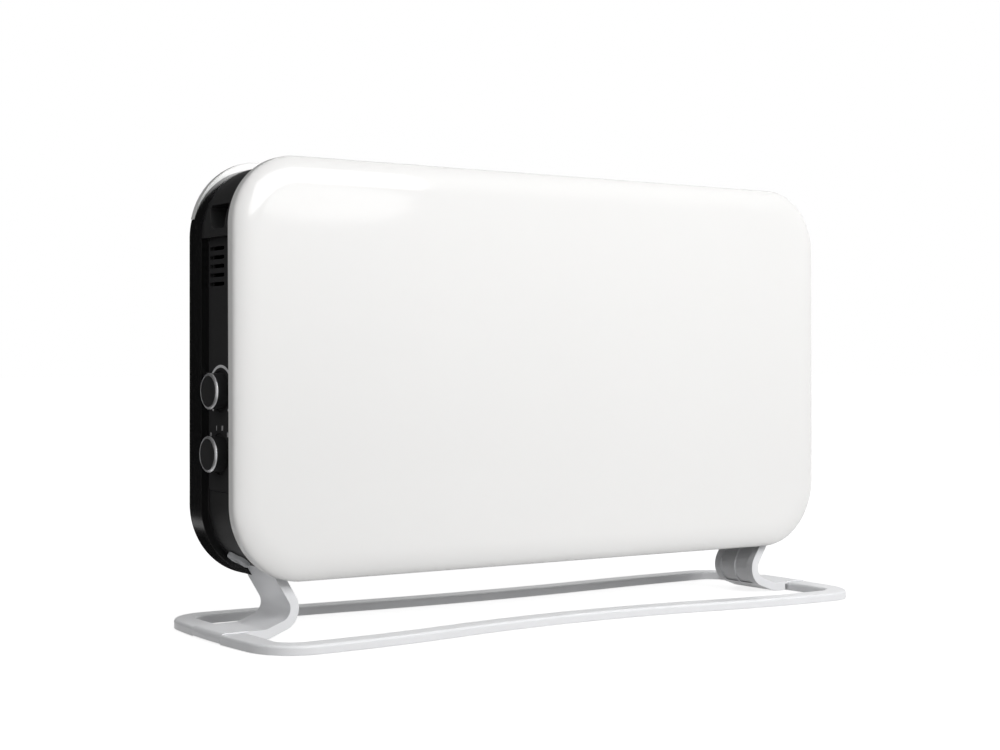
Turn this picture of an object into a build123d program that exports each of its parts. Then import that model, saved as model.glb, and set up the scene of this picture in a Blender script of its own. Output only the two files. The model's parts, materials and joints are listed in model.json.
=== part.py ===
from build123d import *
import math
import os

# Panel convector heater on a loop stand.
# X runs along the heater, Y from the front panel to the back, Z up.
# The origin is on the floor, under the middle of the stand. Sizes are in millimetres.

# ---------------------------------------------------------------- driving dimensions
FIT = 0.3                    # gap between pieces that seat on each other
SHAFT_CLEARANCE = 0.25       # gap round a turning spindle or pin
SCREW_CLEARANCE = 0.1        # gap round a screw in its hole
QUARTER_TURN = 90.0          # degrees

# body: its end caps give it its length, height and depth
BODY_LENGTH = 753.0
BODY_HEIGHT = 395.3
BODY_DEPTH = 80.0
BODY_BOTTOM = 54.0           # height of its lower edge above the floor
CAP_FRONT_Y = -28.5
CAP_LENGTH = 79.0            # the length of the body that each cap takes up
CAP_CORNER = 72.0
CAP_TOP_CORNER = 68.0
CAP_EDGE_ROUND = 5.0         # rounding of the cap's rear edge
CAP_WALL = 3.0

# front panel: a pressed tray with a rolled edge
PANEL_END_GAP = 0.5          # how much shorter it is than the body, at each end
PANEL_LIFT = 1.4             # its lower edge above the body's
PANEL_OVERTOP = 6.1          # its upper edge above the caps'
PANEL_SETOFF = 2.3           # from the caps' front to its rim
PANEL_CORNER = 74.0
PANEL_SIDE = 8.2             # straight part of its side wall
PANEL_ROLL_DEPTH = 8.5       # depth of the rolled edge
PANEL_ROLL_WIDTH = 25.0      # how far the roll reaches in over the face
PANEL_SHEET = 1.0

# pocket in the end cap, which holds the control plate
POCKET_DEPTH = 8.0
RIM_DEPTH = 28.5             # the cap's full rim, behind the pocket
POCKET_DROP = 70.3           # from the caps' top to the pocket's top
POCKET_ROUND = 5.0
PLATE_THICKNESS = 2.4
PLATE_LIFT = 86.0            # from the body's lower edge to the plate's
PLATE_MARGIN = 0.4           # gap between the plate's edge and the pocket
PLATE_LEDGE = 2.0            # thickness of the ledge that carries the plate's edge
WINDOW_MARGIN = 5.0          # how far that ledge reaches in under the plate

# hand grip above the pocket: its rear edge leans forward
GRIP_FROM_FRONT = 4.5
GRIP_TOP_DROP = 39.8         # from the caps' top to the grip's
GRIP_HEIGHT = 23.2
GRIP_TOP_WIDTH = 40.0
GRIP_FOOT_WIDTH = 24.5
GRIP_DEPTH = 24.0
GRIP_ROUND = 3.0
GRIP_REAR_ROUND = 9.0        # its lower rear corner
GRIP_WALL = 2.0

# vent slots in the control plate
VENT_COUNT = 5
VENT_PITCH = 8.4
VENT_DROP = 43.7             # from the pocket's top to the lowest slot
VENT_HEIGHT = 3.8
VENT_FROM_FRONT = 19.3       # from the caps' front to the slots
VENT_FROM_REAR = 2.6         # from the pocket's rear wall to the slots

# knobs on the left end, each with a bright ring on its shoulder
THERMOSTAT_LIFT = 180.4      # heights of their axes above the body's lower edge
POWER_LIFT = 121.3
THERMOSTAT_SHIFT = -0.55     # from the middle of the plate to their axes
POWER_SHIFT = 1.35
KNOB_PROUD = 5.7             # how far a knob stands out past the end cap
KNOB_SHOULDER = 3.3          # width of the shoulder that carries the ring
BEZEL_OVERHANG = 0.35        # how far the ring reaches past that shoulder
BEZEL_DEPTH = 2.0            # length of the ring along the knob
BEZEL_BEVEL = 1.3            # how far its cone falls away from the face
BEZEL_EDGE = 0.5             # width of its flat inner edge
DISH_MARGIN = 4.55           # what the plate is wider than a dish, on each side
DISH_GAP = 2.7               # from the dish's edge to the knob
DISH_DEPTH = 1.2
SPINDLE_DIAMETER = 6.0
SPINDLE_FLAT = 1.5           # how much the flat takes off the spindle
SPINDLE_IN_KNOB = 9.0
SPINDLE_IN_BODY = 12.0

# rear cover: a skirt between the caps, and a tray as long as the panel above them
COVER_RISE = 8.7             # its upper edge above the caps'
COVER_CORNER = 74.0
COVER_DEPTH = 9.5
COVER_BAND = 50.3            # the caps step in over this height, for the tray
COVER_SHEET = 0.9
COVER_EDGE_ROUND = 3.5
LOUVRE_HEIGHT = 4.0
LOUVRE_BRIDGE = 20.0         # sheet left between two louvres
LOUVRE_EDGE = 43.2           # from the skirt's edge to the first louvre
LOUVRE_PITCH = 11.0
LOUVRE_COLUMN_COUNT = 6
LOUVRE_ROW_COUNT = 4
LOUVRE_LIFT = 27.0           # from the chassis' lower end to the lowest row

# chassis
CHASSIS_SHEET = 1.0
CHASSIS_FLANGE = 13.0
CHASSIS_INSET = 3.0          # from the caps' top and bottom to the chassis' ends
SHIELD_SHEET = 0.6
SHIELD_INSET = 9.0           # from the caps' outline to the shield's edge
BRACKET_INSET = 61.5         # from the caps' inboard edges to the panel brackets
BRACKET_WIDTH = 16.0
BRACKET_FLANGE = 12.0

# grilles
GRILLE_DEPTH = 10.0
GRILLE_FRAME = 3.0
BLADE_COUNT = 6
BLADE_THICKNESS = 1.6
BLADE_LEAN = 22.0            # degrees from upright
RIB_COUNT = 5
RIB_THICKNESS = 2.0
RIB_DROP = 1.5               # the ribs stay this far below the blades' tops
INTAKE_THICKNESS = 3.0
INTAKE_ROW_COUNT = 5
INTAKE_COLUMN_COUNT = 6
INTAKE_SLOT_WIDTH = 6.0
INTAKE_BRIDGE = 14.6         # plate left between two slots

# heating elements: finned aluminium extrusions on a steel tube
ELEMENT_SETBACK = 37.5       # from the caps' front to their axes
ELEMENT_LIFT = 67.0          # from the chassis' lower end to the lower axis
ELEMENT_SPACING = 56.0
ELEMENT_CORE = 15.0
ELEMENT_END_ROOM = 31.5      # from the caps' inboard edges to the finned part
ROD_DIAMETER = 8.0
ROD_STUB = 14.0              # how far the tube's end stands out of the chassis
FIN_REACH = 25.0             # from the tube's axis to a fin's tip
FIN_ROOT = 3.4
FIN_TIP = 1.4
FIN_TILT = 40.0              # degrees of the fins from the horizontal
NOTCH_COUNT = 10
NOTCH_WIDTH = 2.0
BUSH_DIAMETER = 15.0
BUSH_COLLAR = 22.0
BUSH_COLLAR_LENGTH = 4.0
BUSH_LENGTH = 7.0

# control gear in the left cap
THERMOSTAT_DEPTH = 24.0
THERMOSTAT_HEIGHT = 38.0
THERMOSTAT_GAP = 2.05        # from the plate's window to the thermostat, on each side
SWITCH_DEPTH = 22.0
SWITCH_HEIGHT = 32.0
SWITCH_GAP = 4.05            # and to the power switch
THERMOSTAT_BLADE_COUNT = 2
SWITCH_BLADE_COUNT = 3
GEAR_ROUND = 3.0
BLADE_SIZE = (8.0, 0.8, 6.3)     # flat terminals of the control gear
CUTOUT_DIAMETER = 16.0
CUTOUT_HEIGHT = 7.0
CUTOUT_EAR = (1.2, 9.0, 26.0)
CUTOUT_LIFT = 206.0          # heights above the body's lower edge, also below
TIP_SIZE = (20.0, 34.0, 30.0)
TIP_WALL = 2.0
TIP_LIFT = 238.0
TIP_PIN_DIAMETER = 3.0
TIP_PIN_DROP = 5.0           # from the housing's ceiling to the pin
PENDULUM_LENGTH = 13.0
PENDULUM_BOB = 9.0
PENDULUM_STEM = 2.4
PENDULUM_WIDTH = 8.0
PENDULUM_EYE = 6.0
TERMINAL_SIZE = (18.0, 16.0, 44.0)
TERMINAL_FROM_REAR = 16.5
TERMINAL_LIFT = 98.0
TERMINAL_COUNT = 3
TERMINAL_BORE = 5.0
GLAND_LIFT = 68.0
GLAND_INSET = 46.5           # from the body's end
GLAND_DIAMETER = 14.0
GLAND_FLANGE = 19.0
GLAND_FLANGE_THICKNESS = 2.0
GLAND_LENGTH = 14.0
GLAND_BORE = 8.4

# legs
LEG_WIDTH = 58.0
LEG_THICKNESS = 9.3
LEG_SETBACK = 32.5           # from the caps' front to the middle of the leg's width
LEG_INSET = 70.3             # from the body's end to the bend's inmost point
LEG_BEND = 12.0              # radius of the leg's hollow outer face
LEG_BEND_Z = 28.5
LEG_LEAN = 32.0              # degrees of its upper part from upright
LEG_INSERT = 31.2            # how high its upper end stands inside the body
FOOT_SLOPE = 20.0            # degrees of the run down from the bend to the foot
FOOT_VALLEY = 20.0           # radius between that run and the level foot
FOOT_TOP = 10.4
FOOT_GAP = 3.0               # between the foot's end and the ring
CHANNEL_DEPTH = 1.2
CHANNEL_EDGE = 9.0
CHANNEL_RIB = 3.0
CHANNEL_STOP = 21.0          # from the leg's upper end to the channels
SOCKET_WALL = 3.0
SOCKET_GRIP = 16.5           # the length of leg that the socket holds
SHELF_THICKNESS = 3.0
SHELF_LIFT = 36.5            # heights above the body's lower edge, also below
SHELF_WIDTH = 52.0
SHELF_FLANGE_LOW = 12.0
SHELF_FLANGE_HIGH = 48.0
LEG_SCREW_DIAMETER = 5.0
LEG_SCREW_HEAD = 9.0
LEG_SCREW_HEAD_HEIGHT = 3.0
LEG_SCREW_SPACING = 30.0
LEG_SCREW_FROM_END = 9.5     # from the leg's upper end
LEG_SCREW_BITE = 6.0         # how far the screw goes into the leg

# stand
RING_OVERHANG = 5.5          # how far it reaches past the body, at each end
RING_DEPTH = 228.0
RING_WIDTH = 22.0
RING_END_WIDTH = 29.5
RING_HEIGHT = 8.6
RING_CORNER = 48.0
RING_INNER_CORNER = 8.0
RING_END_ROUND = 700.0       # radius of the slightly bowed ends
RING_FRONT_WAIST = 24.5      # how far the front rail bends in at the middle
RING_BACK_WAIST = 12.0       # and the back rail
RING_TOP_ROUND = 2.6
PAD_PROUD = 0.8
PAD_DEPTH = 1.2
PAD_LENGTH = 34.0
PAD_WIDTH = 10.0
PAD_INSET = 60.0             # from the ring's end
HOOK_PLATE = 2.6             # foot plate over the ring's end
HOOK_ROUND = 6.0             # rounding where the plate turns down
HOOK_LIP_CLEAR = 1.6         # height of the hook's lip above the floor
FOOT_SCREW_DIAMETER = 4.0
FOOT_SCREW_HEAD = 8.0
FOOT_SCREW_HEAD_HEIGHT = 2.4
FOOT_SCREW_SPACING = 32.0
FOOT_SCREW_BITE = 1.6        # how far it goes into the foot plate

# leg latches
LATCH_LENGTH = 25.0
LATCH_WIDTH = 13.0
LATCH_WAIST = 10.0
LATCH_THICKNESS = 4.5
LATCH_AHEAD = 18.0           # from the pocket's rear wall to its pin
LATCH_ANGLE = 51.5           # place round the cap's lower corner, below horizontal
LATCH_TILT = 28.0            # degrees from the Y axis in its own plane
LATCH_TILT_SIGN = -1         # the front end of the latch is the lower one
LATCH_WAIST_ROUND = 3.0
LATCH_BEVEL = 0.8
LATCH_PIN_DIAMETER = 3.0
LATCH_PIN_HEAD = 5.4
LATCH_PIN_HEAD_HEIGHT = 1.2
LATCH_PIN_HEAD_ROOM = 1.6    # depth of the recess for the pin's head
LATCH_PIN_BEHIND = 1.0       # how far the pin stands behind the cap's wall

# screws of the rear cover, and of the caps
COVER_SCREW_DIAMETER = 4.0
COVER_SCREW_HEAD = 8.0
COVER_SCREW_HEAD_HEIGHT = 2.0
COVER_SCREW_LENGTH = 6.0
COVER_SCREW_INSET = 17.0     # from the skirt's ends to the outer screws
CAP_SCREW_DIAMETER = 3.5
CAP_SCREW_HEAD = 7.0
CAP_SCREW_HEAD_HEIGHT = 1.8
CAP_SCREW_LENGTH = 12.0
CAP_BOSS_DIAMETER = 8.0
LOW_BOSS = (8.5, 28.0)       # from the caps' rear, and from their bottom
MIDDLE_BOSS = (19.5, 160.0)
TOP_BOSS = (19.5, 20.0)      # from the caps' rear, and from their top
FRONT_BOSS = (12.5, 20.0)    # from the caps' front, and from their top

# ---------------------------------------------------------------- derived places
BODY_X = BODY_LENGTH / 2
CAP_TOP = BODY_BOTTOM + BODY_HEIGHT
BODY_REAR_Y = CAP_FRONT_Y + BODY_DEPTH
CAP_INBOARD_X = BODY_X - CAP_LENGTH          # where the caps end and the middle begins
CAP_CORNER_X = BODY_X - CAP_CORNER
CAP_CORNER_LOW_Z = BODY_BOTTOM + CAP_CORNER
PANEL_LENGTH = BODY_LENGTH - 2 * PANEL_END_GAP
PANEL_BOTTOM = BODY_BOTTOM + PANEL_LIFT
PANEL_TOP = CAP_TOP + PANEL_OVERTOP
PANEL_HEIGHT = PANEL_TOP - PANEL_BOTTOM
PANEL_RIM_Y = CAP_FRONT_Y - PANEL_SETOFF
PANEL_FACE_Y = PANEL_RIM_Y - PANEL_SIDE - PANEL_ROLL_DEPTH
POCKET_X = BODY_X - POCKET_DEPTH
POCKET_TOP = CAP_TOP - POCKET_DROP
POCKET_REAR_Y = BODY_REAR_Y - RIM_DEPTH
PLATE_BACK_X = POCKET_X - PLATE_THICKNESS
PLATE_BOTTOM = BODY_BOTTOM + PLATE_LIFT
PLATE_TOP = POCKET_TOP - PLATE_MARGIN
PLATE_FRONT_Y = CAP_FRONT_Y + CAP_WALL
PLATE_REAR_Y = POCKET_REAR_Y - PLATE_MARGIN
VENT_LOW_Z = POCKET_TOP - VENT_DROP
GEAR_X = PLATE_BACK_X - FIT
KNOB_BASE_X = POCKET_X - DISH_DEPTH + FIT
KNOB_END_X = BODY_X + KNOB_PROUD
KNOB_RISE = KNOB_END_X - KNOB_BASE_X
PLATE_WIDTH = PLATE_REAR_Y - PLATE_FRONT_Y
PLATE_MIDDLE_Y = (PLATE_REAR_Y + PLATE_FRONT_Y) / 2
WINDOW_WIDTH = PLATE_WIDTH - 2 * WINDOW_MARGIN
DISH_DIAMETER = PLATE_WIDTH - 2 * DISH_MARGIN
KNOB_DIAMETER = DISH_DIAMETER - 2 * DISH_GAP
KNOB_FACE_DIAMETER = KNOB_DIAMETER - 2 * KNOB_SHOULDER
BEZEL_DIAMETER = KNOB_DIAMETER + 2 * BEZEL_OVERHANG
THERMOSTAT_PLACE = (PLATE_MIDDLE_Y + THERMOSTAT_SHIFT, BODY_BOTTOM + THERMOSTAT_LIFT)
POWER_PLACE = (PLATE_MIDDLE_Y + POWER_SHIFT, BODY_BOTTOM + POWER_LIFT)
THERMOSTAT_SIZE = (THERMOSTAT_DEPTH, WINDOW_WIDTH - 2 * THERMOSTAT_GAP, THERMOSTAT_HEIGHT)
SWITCH_SIZE = (SWITCH_DEPTH, WINDOW_WIDTH - 2 * SWITCH_GAP, SWITCH_HEIGHT)
COVER_TOP = CAP_TOP + COVER_RISE
COVER_BAND_BOTTOM = CAP_TOP - COVER_BAND
COVER_FRONT_Y = BODY_REAR_Y - COVER_DEPTH
COVER_INSIDE_Y = BODY_REAR_Y - COVER_SHEET
SHIELD_REAR_Y = CAP_FRONT_Y - FIT
SHIELD_FRONT_Y = SHIELD_REAR_Y - SHIELD_SHEET
CHASSIS_BOTTOM = BODY_BOTTOM + CHASSIS_INSET
CHASSIS_TOP = CAP_TOP - CHASSIS_INSET
CHASSIS_REAR_Y = COVER_INSIDE_Y - FIT
WEB_X = CAP_INBOARD_X - FIT                  # outer face of the chassis side
WEB_INSIDE_X = WEB_X - CHASSIS_SHEET
BRACKET_X = CAP_INBOARD_X - BRACKET_INSET
GRILLE_HALF = WEB_INSIDE_X - FIT
GRILLE_FRONT_Y = CAP_FRONT_Y + CHASSIS_SHEET + FIT
GRILLE_REAR_Y = COVER_FRONT_Y - FIT
LOUVRE_SPAN = 2 * (WEB_X - LOUVRE_EDGE)
LOUVRE_BRIDGES = (LOUVRE_COLUMN_COUNT - 1) * LOUVRE_BRIDGE
LOUVRE_LENGTH = (LOUVRE_SPAN - LOUVRE_BRIDGES) / LOUVRE_COLUMN_COUNT
ELEMENT_Y = CAP_FRONT_Y + ELEMENT_SETBACK
ELEMENT_HALF = CAP_INBOARD_X - ELEMENT_END_ROOM
ELEMENT_LOW_Z = CHASSIS_BOTTOM + ELEMENT_LIFT
ELEMENT_HEIGHTS = (ELEMENT_LOW_Z, ELEMENT_LOW_Z + ELEMENT_SPACING)
CUTOUT_Z = BODY_BOTTOM + CUTOUT_LIFT
TIP_Z = BODY_BOTTOM + TIP_LIFT
TIP_PIN_Z = TIP_Z + TIP_SIZE[2] / 2 - TIP_WALL - TIP_PIN_DROP
TERMINAL_Y = BODY_REAR_Y - TERMINAL_FROM_REAR
TERMINAL_Z = BODY_BOTTOM + TERMINAL_LIFT
GLAND_X = BODY_X - GLAND_INSET
GLAND_Z = BODY_BOTTOM + GLAND_LIFT
COVER_SCREW_X = WEB_X - CHASSIS_FLANGE / 2
COVER_SCREW_LOW_Z = CHASSIS_BOTTOM + COVER_SCREW_INSET
COVER_SCREW_HIGH_Z = COVER_BAND_BOTTOM - COVER_SCREW_INSET
COVER_SCREW_MIDDLE_Z = (COVER_SCREW_LOW_Z + COVER_SCREW_HIGH_Z) / 2
COVER_SCREW_HEIGHTS = (COVER_SCREW_LOW_Z, COVER_SCREW_MIDDLE_Z, COVER_SCREW_HIGH_Z)
CAP_BOSS_PLACES = (
    (BODY_REAR_Y - LOW_BOSS[0], BODY_BOTTOM + LOW_BOSS[1]),
    (BODY_REAR_Y - MIDDLE_BOSS[0], BODY_BOTTOM + MIDDLE_BOSS[1]),
    (BODY_REAR_Y - TOP_BOSS[0], CAP_TOP - TOP_BOSS[1]),
    (CAP_FRONT_Y + FRONT_BOSS[0], CAP_TOP - FRONT_BOSS[1]),
)
RING_X = BODY_X + RING_OVERHANG
RING_HALF_DEPTH = RING_DEPTH / 2
RING_BOTTOM = PAD_PROUD
RING_TOP = PAD_PROUD + RING_HEIGHT
RING_INNER_X = RING_X - RING_END_WIDTH
PAD_X = RING_X - PAD_INSET
LEG_Y = CAP_FRONT_Y + LEG_SETBACK
LEAN = math.radians(LEG_LEAN)
SLOPE = math.radians(FOOT_SLOPE)
LEG_BEND_X = BODY_X - LEG_INSET + LEG_BEND
LEG_BEND_TOP = LEG_BEND_Z + LEG_BEND * math.sin(LEAN)
LEG_UPPER = (BODY_BOTTOM + LEG_INSERT - LEG_BEND_TOP) / math.cos(LEAN)
SOCKET_START = LEG_UPPER - SOCKET_GRIP
CHANNEL_END = LEG_UPPER - CHANNEL_STOP
LEG_SCREW_ALONG = LEG_UPPER - LEG_SCREW_FROM_END
SHELF_Z = BODY_BOTTOM + SHELF_LIFT
FOOT_VALLEY_Z = FOOT_TOP + FOOT_VALLEY
FOOT_DROP = LEG_BEND_Z - FOOT_VALLEY_Z + (FOOT_VALLEY - LEG_BEND) * math.cos(SLOPE)
FOOT_RUN = FOOT_DROP / math.sin(SLOPE)       # length of the straight run down to the foot
FOOT_VALLEY_X = LEG_BEND_X + FOOT_RUN * math.cos(SLOPE) + (FOOT_VALLEY - LEG_BEND) * math.sin(SLOPE)
FOOT_END_X = RING_INNER_X - FOOT_GAP
FOOT_SCREW_SEAT = RING_BOTTOM + FOOT_SCREW_HEAD_HEIGHT
FOOT_SCREW_X = -(RING_X + RING_INNER_X - HOOK_PLATE) / 2
LATCH_Y = POCKET_REAR_Y - LATCH_AHEAD

os.makedirs("parts", exist_ok=True)
nodes = {}


# ---------------------------------------------------------------- helpers
def across(face, y_front, y_back):
    """A solid from a face drawn in X and Z, filling Y from y_front to y_back."""
    return extrude(Plane.XZ.offset(-y_back) * face, amount=y_back - y_front)


def along(face, x_low, x_high):
    """A solid from a face drawn in Y and Z, filling X from x_low to x_high."""
    return extrude(Plane.YZ.offset(x_low) * face, amount=x_high - x_low)


def box(x_low, x_high, y_low, y_high, z_low, z_high):
    """A box between two corners."""
    size = (x_high - x_low, y_high - y_low, z_high - z_low)
    middle = ((x_high + x_low) / 2, (y_high + y_low) / 2, (z_high + z_low) / 2)
    return Pos(*middle) * Box(*size)


def rod(axis_start, axis_end, diameter):
    """A round bar between two points."""
    direction = Vector(*axis_end) - Vector(*axis_start)
    plane = Plane(origin=axis_start, z_dir=direction)
    return extrude(plane * Circle(diameter / 2), amount=direction.length)


def rounded_outline(half_length, low, high, low_radius, high_radius):
    """A face in X and Z with its own radius at the lower and the upper corners."""
    face = Pos(0, (low + high) / 2) * Rectangle(2 * half_length, high - low)
    vertices = face.vertices().sort_by(Axis.Y)
    face = fillet(vertices[:2], low_radius)
    return fillet(face.vertices().sort_by(Axis.Y)[-2:], high_radius)


def cap_outline(inset):
    """The end caps' outline, moved in by a wall or a pocket depth."""
    low, high = BODY_BOTTOM + inset, CAP_TOP - inset
    return rounded_outline(BODY_X - inset, low, high, CAP_CORNER - inset, CAP_TOP_CORNER - inset)


def mirrored(shape):
    """The same piece at the other end of the heater."""
    return mirror(shape, about=Plane.YZ)


def both_ends(name, shape):
    """Keeps a piece drawn at the left end, and its mirror image at the right end."""
    nodes[name + "_left"] = shape
    nodes[name + "_right"] = mirrored(shape)


# ---------------------------------------------------------------- front panel
def panel_edge_profile():
    """The rolled edge in section: across is inward from the rim, up is forward."""
    side = PANEL_SIDE
    width = PANEL_ROLL_WIDTH
    depth = PANEL_ROLL_DEPTH
    sheet = PANEL_SHEET
    edges = [
        Line((0, 0), (0, side)),
        EllipticalCenterArc((width, side), width, depth, QUARTER_TURN, arc_size=QUARTER_TURN),
        Line((width, side + depth), (width, side + depth - sheet)),
        EllipticalCenterArc(
            (width, side), width - sheet, depth - sheet, QUARTER_TURN, arc_size=QUARTER_TURN
        ),
        Line((sheet, side), (sheet, 0)),
        Line((sheet, 0), (0, 0)),
    ]
    return make_face(edges)


def front_panel():
    """The tray: the rolled edge led round the outline, closed by the flat face."""
    half = PANEL_LENGTH / 2
    radius = PANEL_CORNER
    low, high = PANEL_BOTTOM, PANEL_TOP
    inner_x = half - radius
    profile = panel_edge_profile()
    long_side = PANEL_LENGTH - 2 * radius
    short_side = PANEL_HEIGHT - 2 * radius
    runs = [
        ((-inner_x, low), (0, 1), long_side, (inner_x, low + radius)),
        ((half, low + radius), (-1, 0), short_side, (inner_x, high - radius)),
        ((inner_x, high), (0, -1), long_side, (-inner_x, high - radius)),
        ((-half, high - radius), (1, 0), short_side, (-inner_x, low + radius)),
    ]
    pieces = []
    for (x, z), (in_x, in_z), length, (centre_x, centre_z) in runs:
        section = Plane(origin=(x, PANEL_RIM_Y, z), x_dir=(in_x, 0, in_z), z_dir=(in_z, 0, -in_x))
        side = extrude(section * profile, amount=length)
        end = Pos(in_z * length, 0, -in_x * length) * (section * profile)
        turn = Axis((centre_x, PANEL_RIM_Y, centre_z), (0, -1, 0))
        pieces += [side, revolve(end, turn, QUARTER_TURN)]
    flat = rounded_outline(
        half - PANEL_ROLL_WIDTH,
        low + PANEL_ROLL_WIDTH,
        high - PANEL_ROLL_WIDTH,
        radius - PANEL_ROLL_WIDTH,
        radius - PANEL_ROLL_WIDTH,
    )
    face = across(flat, PANEL_FACE_Y, PANEL_FACE_Y + PANEL_SHEET)
    return face.fuse(*pieces)


def panel_bracket():
    """A top-hat strip that carries the panel on the heat shield, drawn at the left."""
    front = PANEL_FACE_Y + PANEL_SHEET + FIT
    back = SHIELD_FRONT_Y - FIT
    sheet = CHASSIS_SHEET
    half = BRACKET_WIDTH / 2
    right_half = [
        (0, front),
        (half + sheet, front),
        (half + sheet, back - sheet),
        (half + BRACKET_FLANGE, back - sheet),
        (half + BRACKET_FLANGE, back),
        (half, back),
        (half, front + sheet),
        (0, front + sheet),
    ]
    half_face = make_face(Polyline(*right_half, close=True))
    face = half_face + mirror(half_face, about=Plane.YZ)
    low = PANEL_BOTTOM + PANEL_CORNER
    strip = extrude(Plane.XY.offset(low) * face, amount=PANEL_HEIGHT - 2 * PANEL_CORNER)
    return Pos(-BRACKET_X, 0, 0) * strip


def heat_shield():
    """The sheet behind the panel, which closes the body and the caps at the front."""
    return across(cap_outline(SHIELD_INSET), SHIELD_FRONT_Y, SHIELD_REAR_Y)


# ---------------------------------------------------------------- end caps
def plate_face(margin):
    """The control plate's outline in Y and Z, shrunk by a margin."""
    width = PLATE_WIDTH - 2 * margin
    height = PLATE_TOP - PLATE_BOTTOM - 2 * margin
    middle = (PLATE_MIDDLE_Y, (PLATE_TOP + PLATE_BOTTOM) / 2)
    return Pos(*middle) * RectangleRounded(width, height, POCKET_ROUND - margin / 2)


def grip_face(margin):
    """The hand grip's outline in Y and Z, grown by a margin: its rear edge leans forward."""
    front = CAP_FRONT_Y + GRIP_FROM_FRONT
    high = CAP_TOP - GRIP_TOP_DROP
    low = high - GRIP_HEIGHT
    corners = [
        (front, low),
        (front, high),
        (front + GRIP_TOP_WIDTH, high),
        (front + GRIP_FOOT_WIDTH, low),
    ]
    face = make_face(Polyline(*corners, close=True))
    lower_rear = face.vertices().sort_by_distance((front + GRIP_FOOT_WIDTH, low, 0))[0]
    face = fillet(lower_rear, GRIP_REAR_ROUND)
    others = [v for v in face.vertices() if v.Z == 0 and (v.Y > high - 1 or v.X < front + 1)]
    face = fillet(others, GRIP_ROUND)
    return offset(face, amount=margin) if margin else face


def leg_band(start, end, length):
    """The leg's section between two depths, measured in from its hollow outer face."""
    slope_start = FOOT_SLOPE - QUARTER_TURN
    foot_x = -FOOT_END_X

    def on_arc(centre_x, centre_z, radius, degrees):
        angle = math.radians(degrees)
        return (-centre_x + radius * math.cos(angle), centre_z + radius * math.sin(angle))

    def on_bend(depth, degrees):
        return on_arc(LEG_BEND_X, LEG_BEND_Z, LEG_BEND + depth, degrees)

    def on_valley(depth, degrees):
        return on_arc(FOOT_VALLEY_X, FOOT_VALLEY_Z, FOOT_VALLEY + depth, degrees)

    def raised(depth):
        x, z = on_bend(depth, LEG_LEAN)
        return (x - math.sin(LEAN) * length, z + math.cos(LEAN) * length)

    def run(depth):
        """The edges at one depth, from the leg's upper end to the foot's end."""
        middle = (LEG_LEAN + slope_start) / 2
        flat = on_valley(depth, -QUARTER_TURN)
        lower = (slope_start - QUARTER_TURN) / 2
        bend_end, valley_start = on_bend(depth, slope_start), on_valley(depth, slope_start)
        return [
            Line(raised(depth), on_bend(depth, LEG_LEAN)),
            ThreePointArc(on_bend(depth, LEG_LEAN), on_bend(depth, middle), bend_end),
            Line(bend_end, valley_start),
            ThreePointArc(valley_start, on_valley(depth, lower), flat),
            Line(flat, (foot_x, flat[1])),
        ]

    tip_start = (foot_x, on_valley(start, -QUARTER_TURN)[1])
    tip_end = (foot_x, on_valley(end, -QUARTER_TURN)[1])
    ends = [Line(tip_start, tip_end), Line(raised(start), raised(end))]
    return make_face(run(start) + run(end) + ends)


def leg_wide(face, margin):
    """A solid from a face drawn in X and Z, as wide as the leg and a margin to each side."""
    half = LEG_WIDTH / 2 + margin
    return across(face, LEG_Y - half, LEG_Y + half)


def leg_slot():
    """The space the leg needs through the cap and its socket."""
    return leg_wide(leg_band(-FIT, LEG_THICKNESS + FIT, LEG_UPPER + FIT), FIT)


def latch_place():
    """The place of the latch's underside on the left cap's lower corner."""
    angle = math.radians(LATCH_ANGLE)
    outward = (-math.cos(angle), 0, -math.sin(angle))
    radius = CAP_CORNER - POCKET_DEPTH + FIT
    origin = (
        -CAP_CORNER_X + radius * outward[0],
        LATCH_Y,
        CAP_CORNER_LOW_Z + radius * outward[2],
    )
    forward = Plane(origin=origin, x_dir=(0, -1, 0), z_dir=outward)
    return forward * Rot(0, 0, LATCH_TILT_SIGN * LATCH_TILT)


def pocket_void():
    """What the pocket takes out of the cap's outside, and round its lower corner."""
    ahead = CAP_FRONT_Y - 1
    ring = across(cap_outline(0), ahead, POCKET_REAR_Y)
    ring -= across(cap_outline(POCKET_DEPTH), ahead, POCKET_REAR_Y)
    return ring & box(-BODY_X, 0, ahead, POCKET_REAR_Y, 0, POCKET_TOP)


def cap_cavity():
    """The hollow of the cap: behind the pocket, in the rear rim and above the pocket."""
    ahead = CAP_FRONT_Y - 1
    back = BODY_REAR_Y - CAP_WALL
    above = box(-BODY_X, 0, ahead, back, POCKET_TOP + CAP_WALL, CAP_TOP)
    behind_pocket = across(cap_outline(POCKET_DEPTH + CAP_WALL), ahead, back)
    in_rim = across(cap_outline(CAP_WALL), POCKET_REAR_Y + CAP_WALL, back)
    above_pocket = across(cap_outline(CAP_WALL), ahead, back) & above
    return behind_pocket + in_rim + above_pocket


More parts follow.
